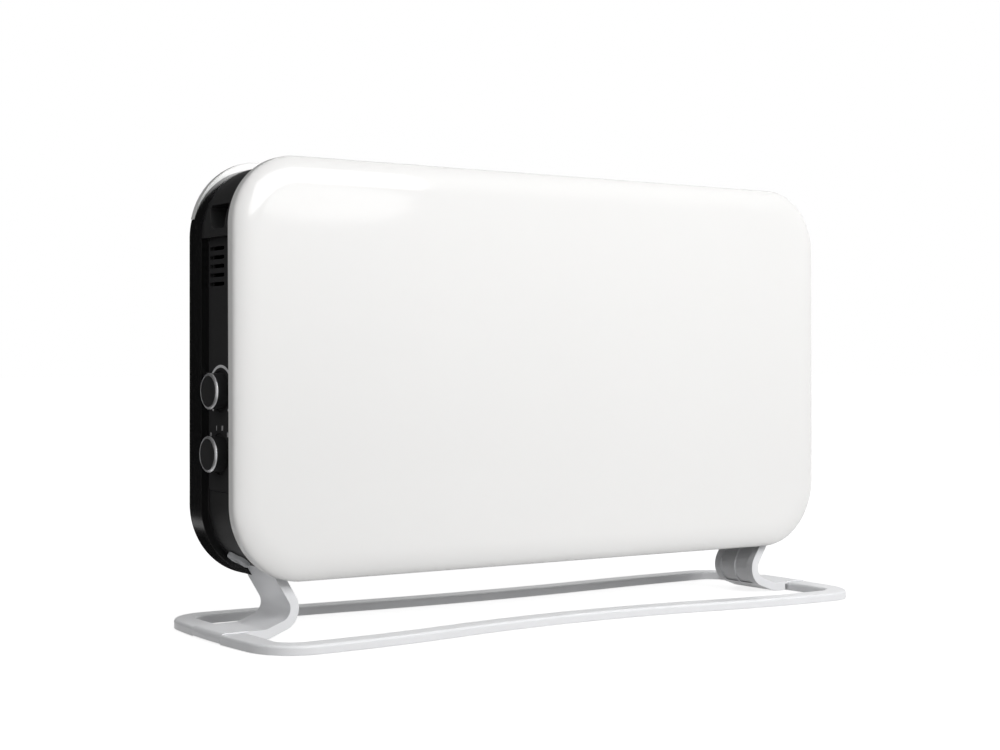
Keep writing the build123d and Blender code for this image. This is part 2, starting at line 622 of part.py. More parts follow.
def end_cap():
    """The left end cap: a rounded shell with a pocket, a hand grip and a leg slot."""
    body = across(cap_outline(0), CAP_FRONT_Y, BODY_REAR_Y)
    body = fillet(body.faces().sort_by(Axis.Y)[-1].edges(), CAP_EDGE_ROUND)
    body &= box(-BODY_X, -CAP_INBOARD_X, CAP_FRONT_Y, BODY_REAR_Y, BODY_BOTTOM, CAP_TOP)
    body -= pocket_void()

    shell = body - cap_cavity()
    grip_cup = along(grip_face(GRIP_WALL), -BODY_X, -BODY_X + GRIP_DEPTH + GRIP_WALL)
    ledge = along(plate_face(-PLATE_LEDGE), -GEAR_X, -GEAR_X + PLATE_LEDGE)
    shell += (grip_cup & body) + ledge
    for y, z in CAP_BOSS_PLACES:
        shell += rod((-BODY_X, y, z), (-CAP_INBOARD_X, y, z), CAP_BOSS_DIAMETER) & body
        bore = CAP_SCREW_DIAMETER + 2 * SCREW_CLEARANCE
        shell -= rod((-CAP_INBOARD_X - CAP_SCREW_LENGTH, y, z), (-CAP_INBOARD_X, y, z), bore)

    cover_front = COVER_FRONT_Y - FIT
    shell -= box(-BODY_X, 0, cover_front, BODY_REAR_Y, COVER_BAND_BOTTOM - FIT, CAP_TOP)
    shell -= along(plate_face(-PLATE_MARGIN), -POCKET_X, -GEAR_X)
    shell -= along(plate_face(WINDOW_MARGIN), -POCKET_X, -GEAR_X + PLATE_LEDGE)
    shell -= along(grip_face(0), -BODY_X - 1, -BODY_X + GRIP_DEPTH)
    shell -= leg_slot()
    pin_hole = Circle(LATCH_PIN_DIAMETER / 2 + SCREW_CLEARANCE)
    return shell - extrude(latch_place() * pin_hole, amount=CAP_WALL + 1, both=True)


def gland_hole():
    """The hole for the cord gland in the rear wall of the left cap."""
    hole = Pos(-GLAND_X, GLAND_Z) * Circle(GLAND_DIAMETER / 2 + FIT)
    return across(hole, COVER_INSIDE_Y - CAP_WALL, BODY_REAR_Y + 1)


def vented_plate():
    """The plate in a cap's pocket, with its vent slots."""
    plate = along(plate_face(0), -POCKET_X, -PLATE_BACK_X)
    front, rear = CAP_FRONT_Y + VENT_FROM_FRONT, POCKET_REAR_Y - VENT_FROM_REAR
    middle = (front + rear) / 2
    for row in range(VENT_COUNT):
        slot = Pos(middle, VENT_LOW_Z + row * VENT_PITCH) * SlotOverall(rear - front, VENT_HEIGHT)
        plate -= along(slot, -POCKET_X, -PLATE_BACK_X)
    return plate


def control_plate():
    """The left plate, with a dish and a spindle hole for each knob."""
    plate = vented_plate()
    for y, z in (THERMOSTAT_PLACE, POWER_PLACE):
        dish = rod((-POCKET_X, y, z), (-POCKET_X + DISH_DEPTH, y, z), DISH_DIAMETER)
        hole = SPINDLE_DIAMETER + 2 * SHAFT_CLEARANCE
        plate -= dish + rod((-POCKET_X, y, z), (-PLATE_BACK_X, y, z), hole)
    return plate


# ---------------------------------------------------------------- knobs and control gear
def spindle(place, margin):
    """A D-shaped spindle from inside the control gear out into its knob, or room for it."""
    y, z = place
    inner_end = -GEAR_X + SPINDLE_IN_BODY + margin
    outer_end = -KNOB_BASE_X - SPINDLE_IN_KNOB - margin
    shaft = rod((inner_end, y, z), (outer_end, y, z), SPINDLE_DIAMETER + 2 * margin)
    flat = y + SPINDLE_DIAMETER / 2 - SPINDLE_FLAT + margin
    reach = SPINDLE_DIAMETER
    return shaft - box(outer_end, -KNOB_BASE_X, flat, y + reach, z - reach, z + reach)


def turned(points, place):
    """A solid turned about a knob's axis, from points (height above the knob's base, radius)."""
    origin = (-KNOB_BASE_X, *place)
    plane = Plane(origin=origin, x_dir=(-1, 0, 0), z_dir=(0, 1, 0))
    face = make_face(Polyline(*points, close=True))
    return revolve(plane * face, Axis(origin, (-1, 0, 0)), 4 * QUARTER_TURN)


def knob(place):
    """The knob: a dark body with a shoulder that carries the bezel."""
    body = KNOB_DIAMETER / 2
    face = KNOB_FACE_DIAMETER / 2
    shoulder = KNOB_RISE - BEZEL_DEPTH - SCREW_CLEARANCE
    points = [
        (0, 0),
        (0, body),
        (shoulder, body),
        (shoulder, face),
        (KNOB_RISE, face),
        (KNOB_RISE, 0),
    ]
    return turned(points, place) - spindle(place, SCREW_CLEARANCE)


def bezel(place):
    """The bright ring on the knob's shoulder, a shallow cone round the face."""
    outer = BEZEL_DIAMETER / 2
    inner = KNOB_FACE_DIAMETER / 2 + SCREW_CLEARANCE
    points = [
        (KNOB_RISE - BEZEL_DEPTH, inner),
        (KNOB_RISE - BEZEL_DEPTH, outer),
        (KNOB_RISE - BEZEL_BEVEL, outer),
        (KNOB_RISE, inner + BEZEL_EDGE),
        (KNOB_RISE, inner),
    ]
    return turned(points, place)


def control_gear(place, size, blade_count):
    """A switching body behind the plate: bored for its spindle, with flat terminals."""
    y, z = place
    depth, width, height = size
    front = -GEAR_X
    body = Pos(front + depth / 2, y, z) * Box(depth, width, height)
    body = fillet(body.edges().filter_by(Axis.X), GEAR_ROUND)
    bore = SPINDLE_DIAMETER + 2 * SHAFT_CLEARANCE
    body -= rod((front, y, z), (front + SPINDLE_IN_BODY + FIT, y, z), bore)
    long, thin, tall = BLADE_SIZE
    spacing = (width - 2 * GEAR_ROUND) / blade_count
    for blade in range(blade_count):
        blade_y = y + (blade - (blade_count - 1) / 2) * spacing
        body += Pos(front + depth + long / 2, blade_y, z) * Box(long, thin, tall)
    return body


def overheat_cutout():
    """The disc thermostat on the inner side of the left chassis web."""
    seat = -WEB_INSIDE_X + FIT
    thick, wide, tall = CUTOUT_EAR
    ear = Pos(seat + thick / 2, ELEMENT_Y, CUTOUT_Z) * Box(thick, wide, tall)
    disc_end = (seat + CUTOUT_HEIGHT, ELEMENT_Y, CUTOUT_Z)
    return ear + rod((seat, ELEMENT_Y, CUTOUT_Z), disc_end, CUTOUT_DIAMETER)


def tip_pin(margin):
    """The pin that the pendulum hangs on, or room for it."""
    start = -WEB_X - FIT
    end = start - TIP_SIZE[0]
    diameter = TIP_PIN_DIAMETER + 2 * margin
    return rod((start, ELEMENT_Y, TIP_PIN_Z), (end, ELEMENT_Y, TIP_PIN_Z), diameter)


def tip_switch():
    """The tip-over switch's hollow housing on the left chassis side, with its pin."""
    depth, width, height = TIP_SIZE
    middle = Pos(-WEB_X - FIT - depth / 2, ELEMENT_Y, TIP_Z)
    wall = 2 * TIP_WALL
    room = Box(depth - wall, width - wall, height - wall)
    return middle * (Box(depth, width, height) - room) + tip_pin(0)


def tip_pendulum():
    """The weight that swings on the pin and opens the switch."""
    middle = -WEB_X - FIT - TIP_SIZE[0] / 2
    z = TIP_PIN_Z
    half = PENDULUM_WIDTH / 2
    eye = rod((middle - half, ELEMENT_Y, z), (middle + half, ELEMENT_Y, z), PENDULUM_EYE)
    stem = rod((middle, ELEMENT_Y, z), (middle, ELEMENT_Y, z - PENDULUM_LENGTH), PENDULUM_STEM)
    bob_z = z - PENDULUM_LENGTH
    bob = rod((middle - half, ELEMENT_Y, bob_z), (middle + half, ELEMENT_Y, bob_z), PENDULUM_BOB)
    return eye + stem + bob - tip_pin(SHAFT_CLEARANCE)


def terminal_block():
    """The block where the supply joins the heater's wiring, on the left chassis side."""
    depth, width, height = TERMINAL_SIZE
    back = -WEB_X - FIT
    block = box(
        back - depth, back, TERMINAL_Y - width / 2, TERMINAL_Y + width / 2,
        TERMINAL_Z - height / 2, TERMINAL_Z + height / 2,
    )
    pitch = height / TERMINAL_COUNT
    for way in range(TERMINAL_COUNT):
        z = TERMINAL_Z + (way - (TERMINAL_COUNT - 1) / 2) * pitch
        block -= rod((back - depth, TERMINAL_Y, z), (back - depth / 2, TERMINAL_Y, z), TERMINAL_BORE)
    return block


def cord_gland():
    """The bored gland in the rear wall of the left cap."""
    wall_in = BODY_REAR_Y - CAP_WALL
    out = BODY_REAR_Y + SCREW_CLEARANCE

    def ring(diameter, y_front, y_back):
        return across(Pos(-GLAND_X, GLAND_Z) * Circle(diameter / 2), y_front, y_back)

    flange = ring(GLAND_FLANGE, out, out + GLAND_FLANGE_THICKNESS)
    barrel = ring(GLAND_DIAMETER, wall_in - GLAND_LENGTH + CAP_WALL, out)
    return flange + barrel - ring(GLAND_BORE, wall_in - GLAND_LENGTH, out + GLAND_FLANGE_THICKNESS)


# ---------------------------------------------------------------- chassis, cover, grilles
def chassis_side():
    """A C-shaped side, its web between the body and the cap, its flanges turned inboard."""
    outside, inside = -WEB_X, -WEB_INSIDE_X
    tip = outside + CHASSIS_FLANGE
    front, rear = CAP_FRONT_Y, CHASSIS_REAR_Y
    sheet = CHASSIS_SHEET
    points = [
        (outside, front),
        (tip, front),
        (tip, front + sheet),
        (inside, front + sheet),
        (inside, rear - sheet),
        (tip, rear - sheet),
        (tip, rear),
        (outside, rear),
    ]
    face = make_face(Polyline(*points, close=True))
    side = extrude(Plane.XY.offset(CHASSIS_BOTTOM) * face, amount=CHASSIS_TOP - CHASSIS_BOTTOM)
    holes = [(ELEMENT_Y, z, BUSH_DIAMETER) for z in ELEMENT_HEIGHTS]
    holes += [(y, z, CAP_SCREW_DIAMETER) for y, z in CAP_BOSS_PLACES]
    for y, z, diameter in holes:
        side -= rod((outside, y, z), (inside, y, z), diameter + 2 * SCREW_CLEARANCE)
    bore = COVER_SCREW_DIAMETER / 2 + SCREW_CLEARANCE
    for z in COVER_SCREW_HEIGHTS:
        hole = Pos(-COVER_SCREW_X, z) * Circle(bore)
        side -= across(hole, rear - sheet, rear)
    return side


def cover_tray(inset, y_back):
    """The cover's upper tray, or the room inside it."""
    half = PANEL_LENGTH / 2 - inset
    radius = COVER_CORNER - inset
    low = COVER_BAND_BOTTOM + inset
    outline = rounded_outline(half, BODY_BOTTOM, COVER_TOP - inset, radius, radius)
    outline -= Rectangle(2 * half, 2 * low)
    tray = across(outline, COVER_FRONT_Y - (inset > 0), y_back)
    return fillet(tray.faces().sort_by(Axis.Y)[-1].edges(), COVER_EDGE_ROUND - inset)


def rear_cover():
    """A pressed sheet between the caps, with a flanged tray over their top rear corners."""
    half = WEB_X
    low, rear = CHASSIS_BOTTOM, BODY_REAR_Y
    overlap = COVER_BAND_BOTTOM + COVER_BAND / 2
    skirt = box(-half, half, COVER_INSIDE_Y, rear, low, overlap)
    lip_half = GRILLE_HALF - CHASSIS_FLANGE
    lip = box(-lip_half, lip_half, COVER_FRONT_Y, rear, low, low + COVER_SHEET)
    cover = cover_tray(0, rear) + skirt + lip - cover_tray(COVER_SHEET, COVER_INSIDE_Y)
    passage = half + FIT
    floor = COVER_BAND_BOTTOM - COVER_SHEET
    cover -= box(-passage, passage, COVER_FRONT_Y, COVER_INSIDE_Y, floor, overlap)
    for column in range(LOUVRE_COLUMN_COUNT):
        x = (column - (LOUVRE_COLUMN_COUNT - 1) / 2) * (LOUVRE_LENGTH + LOUVRE_BRIDGE)
        for row in range(LOUVRE_ROW_COUNT):
            z = low + LOUVRE_LIFT + row * LOUVRE_PITCH
            slot = Pos(x, z) * Rectangle(LOUVRE_LENGTH, LOUVRE_HEIGHT)
            cover -= across(slot, COVER_INSIDE_Y, rear)
    for x in (-COVER_SCREW_X, COVER_SCREW_X):
        for z in COVER_SCREW_HEIGHTS:
            hole = Pos(x, z) * Circle(COVER_SCREW_DIAMETER / 2 + SCREW_CLEARANCE)
            cover -= across(hole, COVER_INSIDE_Y, rear)
    return cover


def outlet_grille():
    """The top grille: a frame, leaning blades along it and ribs across it."""
    half = GRILLE_HALF
    low, high = CAP_TOP - GRILLE_DEPTH, CAP_TOP
    front, rear = GRILLE_FRONT_Y, GRILLE_REAR_Y
    frame = box(-half, half, front, rear, low, high)
    inner_front, inner_rear = front + GRILLE_FRAME, rear - GRILLE_FRAME
    inner = half - GRILLE_FRAME
    frame -= box(-inner, inner, inner_front, inner_rear, low, high)
    pieces = []
    shift = GRILLE_DEPTH * math.tan(math.radians(BLADE_LEAN)) / 2
    pitch = (inner_rear - inner_front) / (BLADE_COUNT + 1)
    for blade in range(BLADE_COUNT):
        y = inner_front + (blade + 1) * pitch
        thick = BLADE_THICKNESS / 2
        points = [
            (y + shift - thick, low),
            (y + shift + thick, low),
            (y - shift + thick, high),
            (y - shift - thick, high),
        ]
        pieces.append(along(make_face(Polyline(*points, close=True)), -inner, inner))
    spacing = 2 * inner / (RIB_COUNT + 1)
    for rib in range(RIB_COUNT):
        x = -inner + (rib + 1) * spacing
        edge = RIB_THICKNESS / 2
        pieces.append(box(x - edge, x + edge, inner_front, inner_rear, low, high - RIB_DROP))
    return frame.fuse(*pieces)


def intake_grille():
    """The slotted plate that closes the body at the bottom."""
    half = GRILLE_HALF
    low, high = CHASSIS_BOTTOM, CHASSIS_BOTTOM + INTAKE_THICKNESS
    plate = box(-half, half, GRILLE_FRONT_Y, GRILLE_REAR_Y, low, high)
    pitch_x = 2 * half / INTAKE_COLUMN_COUNT
    pitch_y = (GRILLE_REAR_Y - GRILLE_FRONT_Y) / INTAKE_ROW_COUNT
    slot = Box(pitch_x - INTAKE_BRIDGE, INTAKE_SLOT_WIDTH, 2 * INTAKE_THICKNESS)
    for column in range(INTAKE_COLUMN_COUNT):
        x = (column - (INTAKE_COLUMN_COUNT - 1) / 2) * pitch_x
        for row in range(INTAKE_ROW_COUNT):
            y = GRILLE_FRONT_Y + (row + 0.5) * pitch_y
            plate -= Pos(x, y, (low + high) / 2) * slot
    return plate


# ---------------------------------------------------------------- heating elements
def heating_element(z):
    """A steel tube inside an aluminium extrusion with four fins, notched along them."""
    section = Circle(ELEMENT_CORE / 2)
    fin_points = [
        (0, -FIN_ROOT / 2),
        (FIN_REACH, -FIN_TIP / 2),
        (FIN_REACH, FIN_TIP / 2),
        (0, FIN_ROOT / 2),
    ]
    fin = make_face(Polyline(*fin_points, close=True))
    for turn in (FIN_TILT, 180 - FIN_TILT, 180 + FIN_TILT, 360 - FIN_TILT):
        section += Rot(0, 0, turn) * fin
    body = along(Pos(ELEMENT_Y, z) * section, -ELEMENT_HALF, ELEMENT_HALF)
    reach = FIN_REACH
    core = ELEMENT_CORE / 2 + NOTCH_WIDTH
    spacing = 2 * ELEMENT_HALF / (NOTCH_COUNT + 1)
    for notch in range(NOTCH_COUNT):
        x = -ELEMENT_HALF + (notch + 1) * spacing
        low_x, high_x = x - NOTCH_WIDTH / 2, x + NOTCH_WIDTH / 2
        body -= box(low_x, high_x, ELEMENT_Y + core, ELEMENT_Y + reach, z - reach, z + reach)
        body -= box(low_x, high_x, ELEMENT_Y - reach, ELEMENT_Y - core, z - reach, z + reach)
    end = WEB_X + ROD_STUB
    return body + rod((-end, ELEMENT_Y, z), (end, ELEMENT_Y, z), ROD_DIAMETER)


def bush(z):
    """A ceramic bush that carries an element's tube in the left chassis web."""
    seat = -WEB_INSIDE_X + SCREW_CLEARANCE
    collar = rod((seat, ELEMENT_Y, z), (seat + BUSH_COLLAR_LENGTH, ELEMENT_Y, z), BUSH_COLLAR)
    barrel = rod((seat, ELEMENT_Y, z), (seat - BUSH_LENGTH, ELEMENT_Y, z), BUSH_DIAMETER)
    bore = ROD_DIAMETER + 2 * SCREW_CLEARANCE
    start, end = seat + BUSH_COLLAR_LENGTH, seat - BUSH_LENGTH
    return collar + barrel - rod((start, ELEMENT_Y, z), (end, ELEMENT_Y, z), bore)


# ---------------------------------------------------------------- legs, sockets and ring
def ring_outline(inset):
    """The stand's outline: bowed ends, round bulges, and a waist at the front and back."""
    end_x = RING_X - RING_END_ROUND

    def side(waist, sign):
        """One long side from the end's arc to its middle, as (start, middle, end) of arcs."""
        centre_y = RING_HALF_DEPTH - RING_CORNER
        reach = RING_END_ROUND - RING_CORNER
        centre = Vector(end_x + math.sqrt(reach * reach - centre_y * centre_y), centre_y)
        radius = (centre.X ** 2 + waist ** 2) / (4 * waist)
        from_end = (centre - Vector(end_x, 0)).normalized()
        outward = Vector(0, 1)
        turn = math.asin(centre.X / (2 * radius))

        def on_corner(direction):
            return centre + direction.normalized() * (RING_CORNER - inset)

        def on_bulge(angle):
            reach = radius - inset
            middle = Vector(centre.X, RING_HALF_DEPTH - radius)
            return middle + Vector(-math.sin(angle), math.cos(angle)) * reach

        def on_waist(angle):
            reach = radius + inset
            middle = Vector(0, RING_HALF_DEPTH - waist + radius)
            return middle - Vector(-math.sin(angle), math.cos(angle)) * reach

        arcs = [
            (on_corner(from_end), on_corner(from_end + outward), on_corner(outward)),
            (on_bulge(0), on_bulge(turn / 2), on_bulge(turn)),
            (on_waist(turn), on_waist(turn / 2), on_waist(0)),
        ]
        return [[(point.X, point.Y * sign) for point in arc] for arc in arcs]

    def flip(points):
        return [(-x, y) for x, y in points]

    back = side(RING_BACK_WAIST, 1)
    front = side(RING_FRONT_WAIST, -1)
    ends = [front[0][0], (RING_X - inset, 0), back[0][0]]
    arcs = [ends] + back + front
    return make_face([ThreePointArc(*points) for arc in arcs for points in (arc, flip(arc))])


def ring_opening():
    """The hole in the stand, squared off at the wide end bars that carry the feet."""
    opening = ring_outline(RING_WIDTH) & Rectangle(2 * RING_INNER_X, 2 * RING_DEPTH)
    corners = [v for v in opening.vertices() if abs(v.X) > RING_INNER_X - FIT]
    return fillet(corners, RING_INNER_CORNER)


def hook_profile(inset, low, end_x):
    """The section in X and Z under the hook's rounded outer edge, moved in by a margin."""
    top = FOOT_TOP - inset
    side = -RING_X + inset
    radius = HOOK_ROUND - inset
    turn = radius * (1 - math.sqrt(0.5))
    edges = [
        Line((side, low), (side, top - radius)),
        ThreePointArc((side, top - radius), (side + turn, top - turn), (side + radius, top)),
        Line((side + radius, top), (end_x, top)),
        Line((end_x, top), (end_x, low)),
        Line((end_x, low), (side, low)),
    ]
    return make_face(edges)


def hook_room():
    """What the ring's left end gives up to the hook."""
    end = -RING_INNER_X + FIT
    whole = make_face(Polyline((-RING_X, 0), (end, 0), (end, FOOT_TOP), (-RING_X, FOOT_TOP), close=True))
    return leg_wide(whole - hook_profile(HOOK_PLATE + FIT, 0, end), FIT)


def leg():
    """The left leg: a fluted strip bent into a C, with a foot that hooks over the ring."""
    half = LEG_WIDTH / 2
    strip = leg_wide(leg_band(0, LEG_THICKNESS, LEG_UPPER), 0)
    within_ring = extrude(ring_outline(0), amount=FOOT_TOP)
    inside = -FOOT_END_X + HOOK_PLATE
    plate = hook_profile(0, HOOK_LIP_CLEAR, inside) - hook_profile(HOOK_PLATE, 0, inside)
    body = strip + (leg_wide(plate, 0) & within_ring)
    channel = leg_band(LEG_THICKNESS - CHANNEL_DEPTH, LEG_THICKNESS + 1, CHANNEL_END)
    for side in (-1, 1):
        near, far = LEG_Y + side * CHANNEL_RIB / 2, LEG_Y + side * (half - CHANNEL_EDGE)
        body -= across(channel, min(near, far), max(near, far)) & channel_reach()
    for place in leg_screw_planes():
        hole = Circle(LEG_SCREW_DIAMETER / 2 + SCREW_CLEARANCE)
        body -= extrude(place * hole, amount=-(FIT + SOCKET_WALL + LEG_SCREW_BITE + FIT))
    for y in foot_screw_places():
        hole = Pos(FOOT_SCREW_X, y, 0) * Circle(FOOT_SCREW_DIAMETER / 2 + SCREW_CLEARANCE)
        body -= extrude(hole, amount=FOOT_TOP - HOOK_PLATE + FOOT_SCREW_BITE + SCREW_CLEARANCE)
    return body


def channel_reach():
    """The stretch of the leg that the channels run along, above the foot."""
    return box(-RING_X, 0, -LEG_WIDTH, LEG_WIDTH, FOOT_TOP, CAP_TOP)


def leg_place(depth, length):
    """A point on the leg's straight upper part, at a depth from its hollow outer face."""
    radius = LEG_BEND + depth
    x = -LEG_BEND_X + radius * math.cos(LEAN) - length * math.sin(LEAN)
    return Vector(x, 0, LEG_BEND_Z + radius * math.sin(LEAN) + length * math.cos(LEAN))


def leg_screw_planes():
    """Planes on the socket's inboard wall, facing away from the leg."""
    seat = leg_place(LEG_THICKNESS + FIT + SOCKET_WALL, LEG_SCREW_ALONG)
    away = (math.cos(LEAN), 0, math.sin(LEAN))
    places = [seat + Vector(0, LEG_Y + side * LEG_SCREW_SPACING / 2, 0) for side in (-1, 1)]
    return [Plane(origin=place, x_dir=(0, 1, 0), z_dir=away) for place in places]


def foot_screw_places():
    """Places of the foot's two screws across its width."""
    return (LEG_Y - FOOT_SCREW_SPACING / 2, LEG_Y + FOOT_SCREW_SPACING / 2)


def leg_socket():
    """The sleeve round the leg's top, its shelf, and the flange on the chassis side."""
    margin = FIT + SOCKET_WALL
    sleeve = leg_wide(leg_band(-margin, LEG_THICKNESS + margin, LEG_UPPER + margin), margin)
    along_leg = (-math.sin(LEAN), 0, math.cos(LEAN))
    mouth = Plane(origin=leg_place(0, SOCKET_START), x_dir=(0, 1, 0), z_dir=along_leg)
    sleeve &= extrude(mouth * Rectangle(4 * LEG_WIDTH, 4 * LEG_WIDTH), amount=2 * LEG_UPPER)
    sleeve &= leg_wide(cap_outline(POCKET_DEPTH + CAP_WALL + FIT), margin)
    seat = -WEB_X - FIT
    front, rear = LEG_Y - SHELF_WIDTH / 2, LEG_Y + SHELF_WIDTH / 2
    low, high = BODY_BOTTOM + SHELF_FLANGE_LOW, BODY_BOTTOM + SHELF_FLANGE_HIGH
    flange = box(seat - SHELF_THICKNESS, seat, front, rear, low, high)
    reach = leg_place(LEG_THICKNESS + FIT, LEG_UPPER).X
    shelf = box(reach, seat, front, rear, SHELF_Z, SHELF_Z + SHELF_THICKNESS)
    socket = sleeve + flange + shelf - leg_slot()
    for place in leg_screw_planes():
        hole = Circle(LEG_SCREW_DIAMETER / 2 + SCREW_CLEARANCE)
        socket -= extrude(place * hole, amount=-(SOCKET_WALL + FIT))
    return socket


def base_ring():
    """The closed loop on the floor, rebated for the hooks and recessed for its pads."""
    ring = extrude(Plane.XY.offset(RING_BOTTOM) * ring_outline(0), amount=RING_HEIGHT)
    ring -= extrude(Plane.XY.offset(RING_BOTTOM) * ring_opening(), amount=RING_HEIGHT)
    ring = fillet(ring.faces().sort_by(Axis.Z)[-1].edges(), RING_TOP_ROUND)
    room = hook_room()
    ring -= room + mirrored(room)
    for x, y in pad_places():
        recess = Pos(x, y, RING_BOTTOM + PAD_DEPTH / 2)
        ring -= recess * Box(PAD_LENGTH + 2 * FIT, PAD_WIDTH + 2 * FIT, PAD_DEPTH)
    for side in (-1, 1):
        for y in foot_screw_places():
            x = side * -FOOT_SCREW_X
            shank = Pos(x, y, 0) * Circle(FOOT_SCREW_DIAMETER / 2 + SCREW_CLEARANCE)
            head = Pos(x, y, 0) * Circle(FOOT_SCREW_HEAD / 2 + SCREW_CLEARANCE)
            ring -= extrude(shank, amount=RING_TOP)
            ring -= extrude(head, amount=FOOT_SCREW_SEAT + SCREW_CLEARANCE)
    return ring


def pad_places():
    """Middles of the floor pads, under the ring's bulges."""
    pad_y = RING_HALF_DEPTH - RING_WIDTH / 2
    return [(x, y) for x in (-PAD_X, PAD_X) for y in (-pad_y, pad_y)]


def floor_pads():
    """The four pads under the ring, in one piece of the part list."""
    height = PAD_PROUD + PAD_DEPTH - SCREW_CLEARANCE
    pads = [Pos(x, y, height / 2) * Box(PAD_LENGTH, PAD_WIDTH, height) for x, y in pad_places()]
    return Compound(children=pads)


# ---------------------------------------------------------------- latches and screws
def bone(thickness):
    """The latch's bone-shaped plate, waisted between two round ends."""
    reach = (LATCH_LENGTH - LATCH_WIDTH) / 2
    face = Rectangle(2 * reach, LATCH_WAIST)
    for x in (-reach, reach):
        face += Pos(x, 0) * Circle(LATCH_WIDTH / 2)
    inner = [v for v in face.vertices() if abs(v.X) < reach]
    face = fillet(inner, LATCH_WAIST_ROUND)
    return extrude(face, amount=thickness)


def leg_latch():
    """The left latch, which turns on its pin to lock the leg in its slot."""
    plate = bone(LATCH_THICKNESS)
    plate = chamfer(plate.faces().sort_by(Axis.Z)[-1].edges(), LATCH_BEVEL)
    hole = Circle(LATCH_PIN_DIAMETER / 2 + SHAFT_CLEARANCE)
    plate -= extrude(hole, amount=LATCH_THICKNESS)
    seat = Circle(LATCH_PIN_HEAD / 2 + SHAFT_CLEARANCE)
    plate -= extrude(Plane.XY.offset(LATCH_THICKNESS) * seat, amount=-LATCH_PIN_HEAD_ROOM)
    return latch_place() * plate


def latch_pin():
    """The pin that holds the left latch on the cap."""
    top = LATCH_THICKNESS - LATCH_PIN_HEAD_ROOM + SHAFT_CLEARANCE
    head = extrude(Plane.XY.offset(top) * Circle(LATCH_PIN_HEAD / 2), amount=LATCH_PIN_HEAD_HEIGHT)
    below = FIT + CAP_WALL + LATCH_PIN_BEHIND
    shank = extrude(Plane.XY.offset(-below) * Circle(LATCH_PIN_DIAMETER / 2), amount=below + top)
    return latch_place() * (head + shank)


def screw(seat, length, diameter, head_diameter, head_height):
    """A screw whose head lies on a plane and whose shank goes in behind it."""
    lifted = seat.offset(SCREW_CLEARANCE / 2)
    head = extrude(lifted * Circle(head_diameter / 2), amount=head_height)
    return head + extrude(lifted * Circle(diameter / 2), amount=-length)


def leg_screws():
    """The screws that hold the legs in their sockets."""
    length = SOCKET_WALL + FIT + LEG_SCREW_BITE
    left = [
        screw(place, length, LEG_SCREW_DIAMETER, LEG_SCREW_HEAD, LEG_SCREW_HEAD_HEIGHT)
        for place in leg_screw_planes()
    ]
    return Compound(children=left + [mirrored(item) for item in left])


def foot_screws():
    """The screws that hold the hooks down on the ring, from below."""
    length = FOOT_TOP - HOOK_PLATE + FOOT_SCREW_BITE - FOOT_SCREW_SEAT
    left = []
    for y in foot_screw_places():
        seat = Plane(origin=(FOOT_SCREW_X, y, FOOT_SCREW_SEAT), z_dir=(0, 0, -1))
        left.append(screw(seat, length, FOOT_SCREW_DIAMETER, FOOT_SCREW_HEAD, FOOT_SCREW_HEAD_HEIGHT))
    return Compound(children=left + [mirrored(item) for item in left])


def cover_screws():
    """The screws that hold the rear cover on the chassis sides."""
    left = []
    for z in COVER_SCREW_HEIGHTS:
        seat = Plane(origin=(-COVER_SCREW_X, BODY_REAR_Y, z), z_dir=(0, 1, 0))
        left.append(
            screw(seat, COVER_SCREW_LENGTH, COVER_SCREW_DIAMETER, COVER_SCREW_HEAD, COVER_SCREW_HEAD_HEIGHT)
        )
    return Compound(children=left + [mirrored(item) for item in left])


def cap_screws():
    """The screws that hold the end caps, through the chassis webs."""
    left = []
    for y, z in CAP_BOSS_PLACES:
        seat = Plane(origin=(-WEB_INSIDE_X, y, z), z_dir=(1, 0, 0))
        left.append(
            screw(seat, CAP_SCREW_LENGTH, CAP_SCREW_DIAMETER, CAP_SCREW_HEAD, CAP_SCREW_HEAD_HEIGHT)
        )
    return Compound(children=left + [mirrored(item) for item in left])


# ---------------------------------------------------------------- all the pieces
nodes["front_panel"] = front_panel()
nodes["heat_shield"] = heat_shield()
both_ends("panel_bracket", panel_bracket())
both_ends("chassis", chassis_side())
nodes["rear_cover"] = rear_cover()
nodes["outlet_grille"] = outlet_grille()
nodes["intake_grille"] = intake_grille()

left_cap = end_cap()
nodes["end_cap_left"] = left_cap - gland_hole()
nodes["end_cap_right"] = mirrored(left_cap)
nodes["control_plate"] = control_plate()
nodes["side_plate"] = mirrored(vented_plate())
for dial, place, size, blade_count in (
    ("thermostat", THERMOSTAT_PLACE, THERMOSTAT_SIZE, THERMOSTAT_BLADE_COUNT),
    ("power", POWER_PLACE, SWITCH_SIZE, SWITCH_BLADE_COUNT),
):
    nodes[dial + "_knob"] = knob(place)
    nodes[dial + "_bezel"] = bezel(place)
    nodes[dial + "_spindle"] = spindle(place, 0)
    nodes[dial + "_switch"] = control_gear(place, size, blade_count)
nodes["overheat_cutout"] = overheat_cutout()
nodes["tip_switch"] = tip_switch()
nodes["tip_pendulum"] = tip_pendulum()
nodes["terminal_block"] = terminal_block()
nodes["cord_gland"] = cord_gland()

for level, height in zip(("lower", "upper"), ELEMENT_HEIGHTS):
    nodes["heating_element_" + level] = heating_element(height)
bushes = [bush(height) for height in ELEMENT_HEIGHTS]
nodes["element_bushes"] = Compound(children=bushes + [mirrored(item) for item in bushes])

both_ends("leg", leg())
both_ends("leg_socket", leg_socket())
both_ends("leg_latch", leg_latch())
nodes["base_ring"] = base_ring()
nodes["floor_pads"] = floor_pads()
pin = latch_pin()
nodes["latch_pins"] = Compound(children=[pin, mirrored(pin)])
nodes["leg_screws"] = leg_screws()
nodes["foot_screws"] = foot_screws()
nodes["cover_screws"] = cover_screws()
nodes["cap_screws"] = cap_screws()

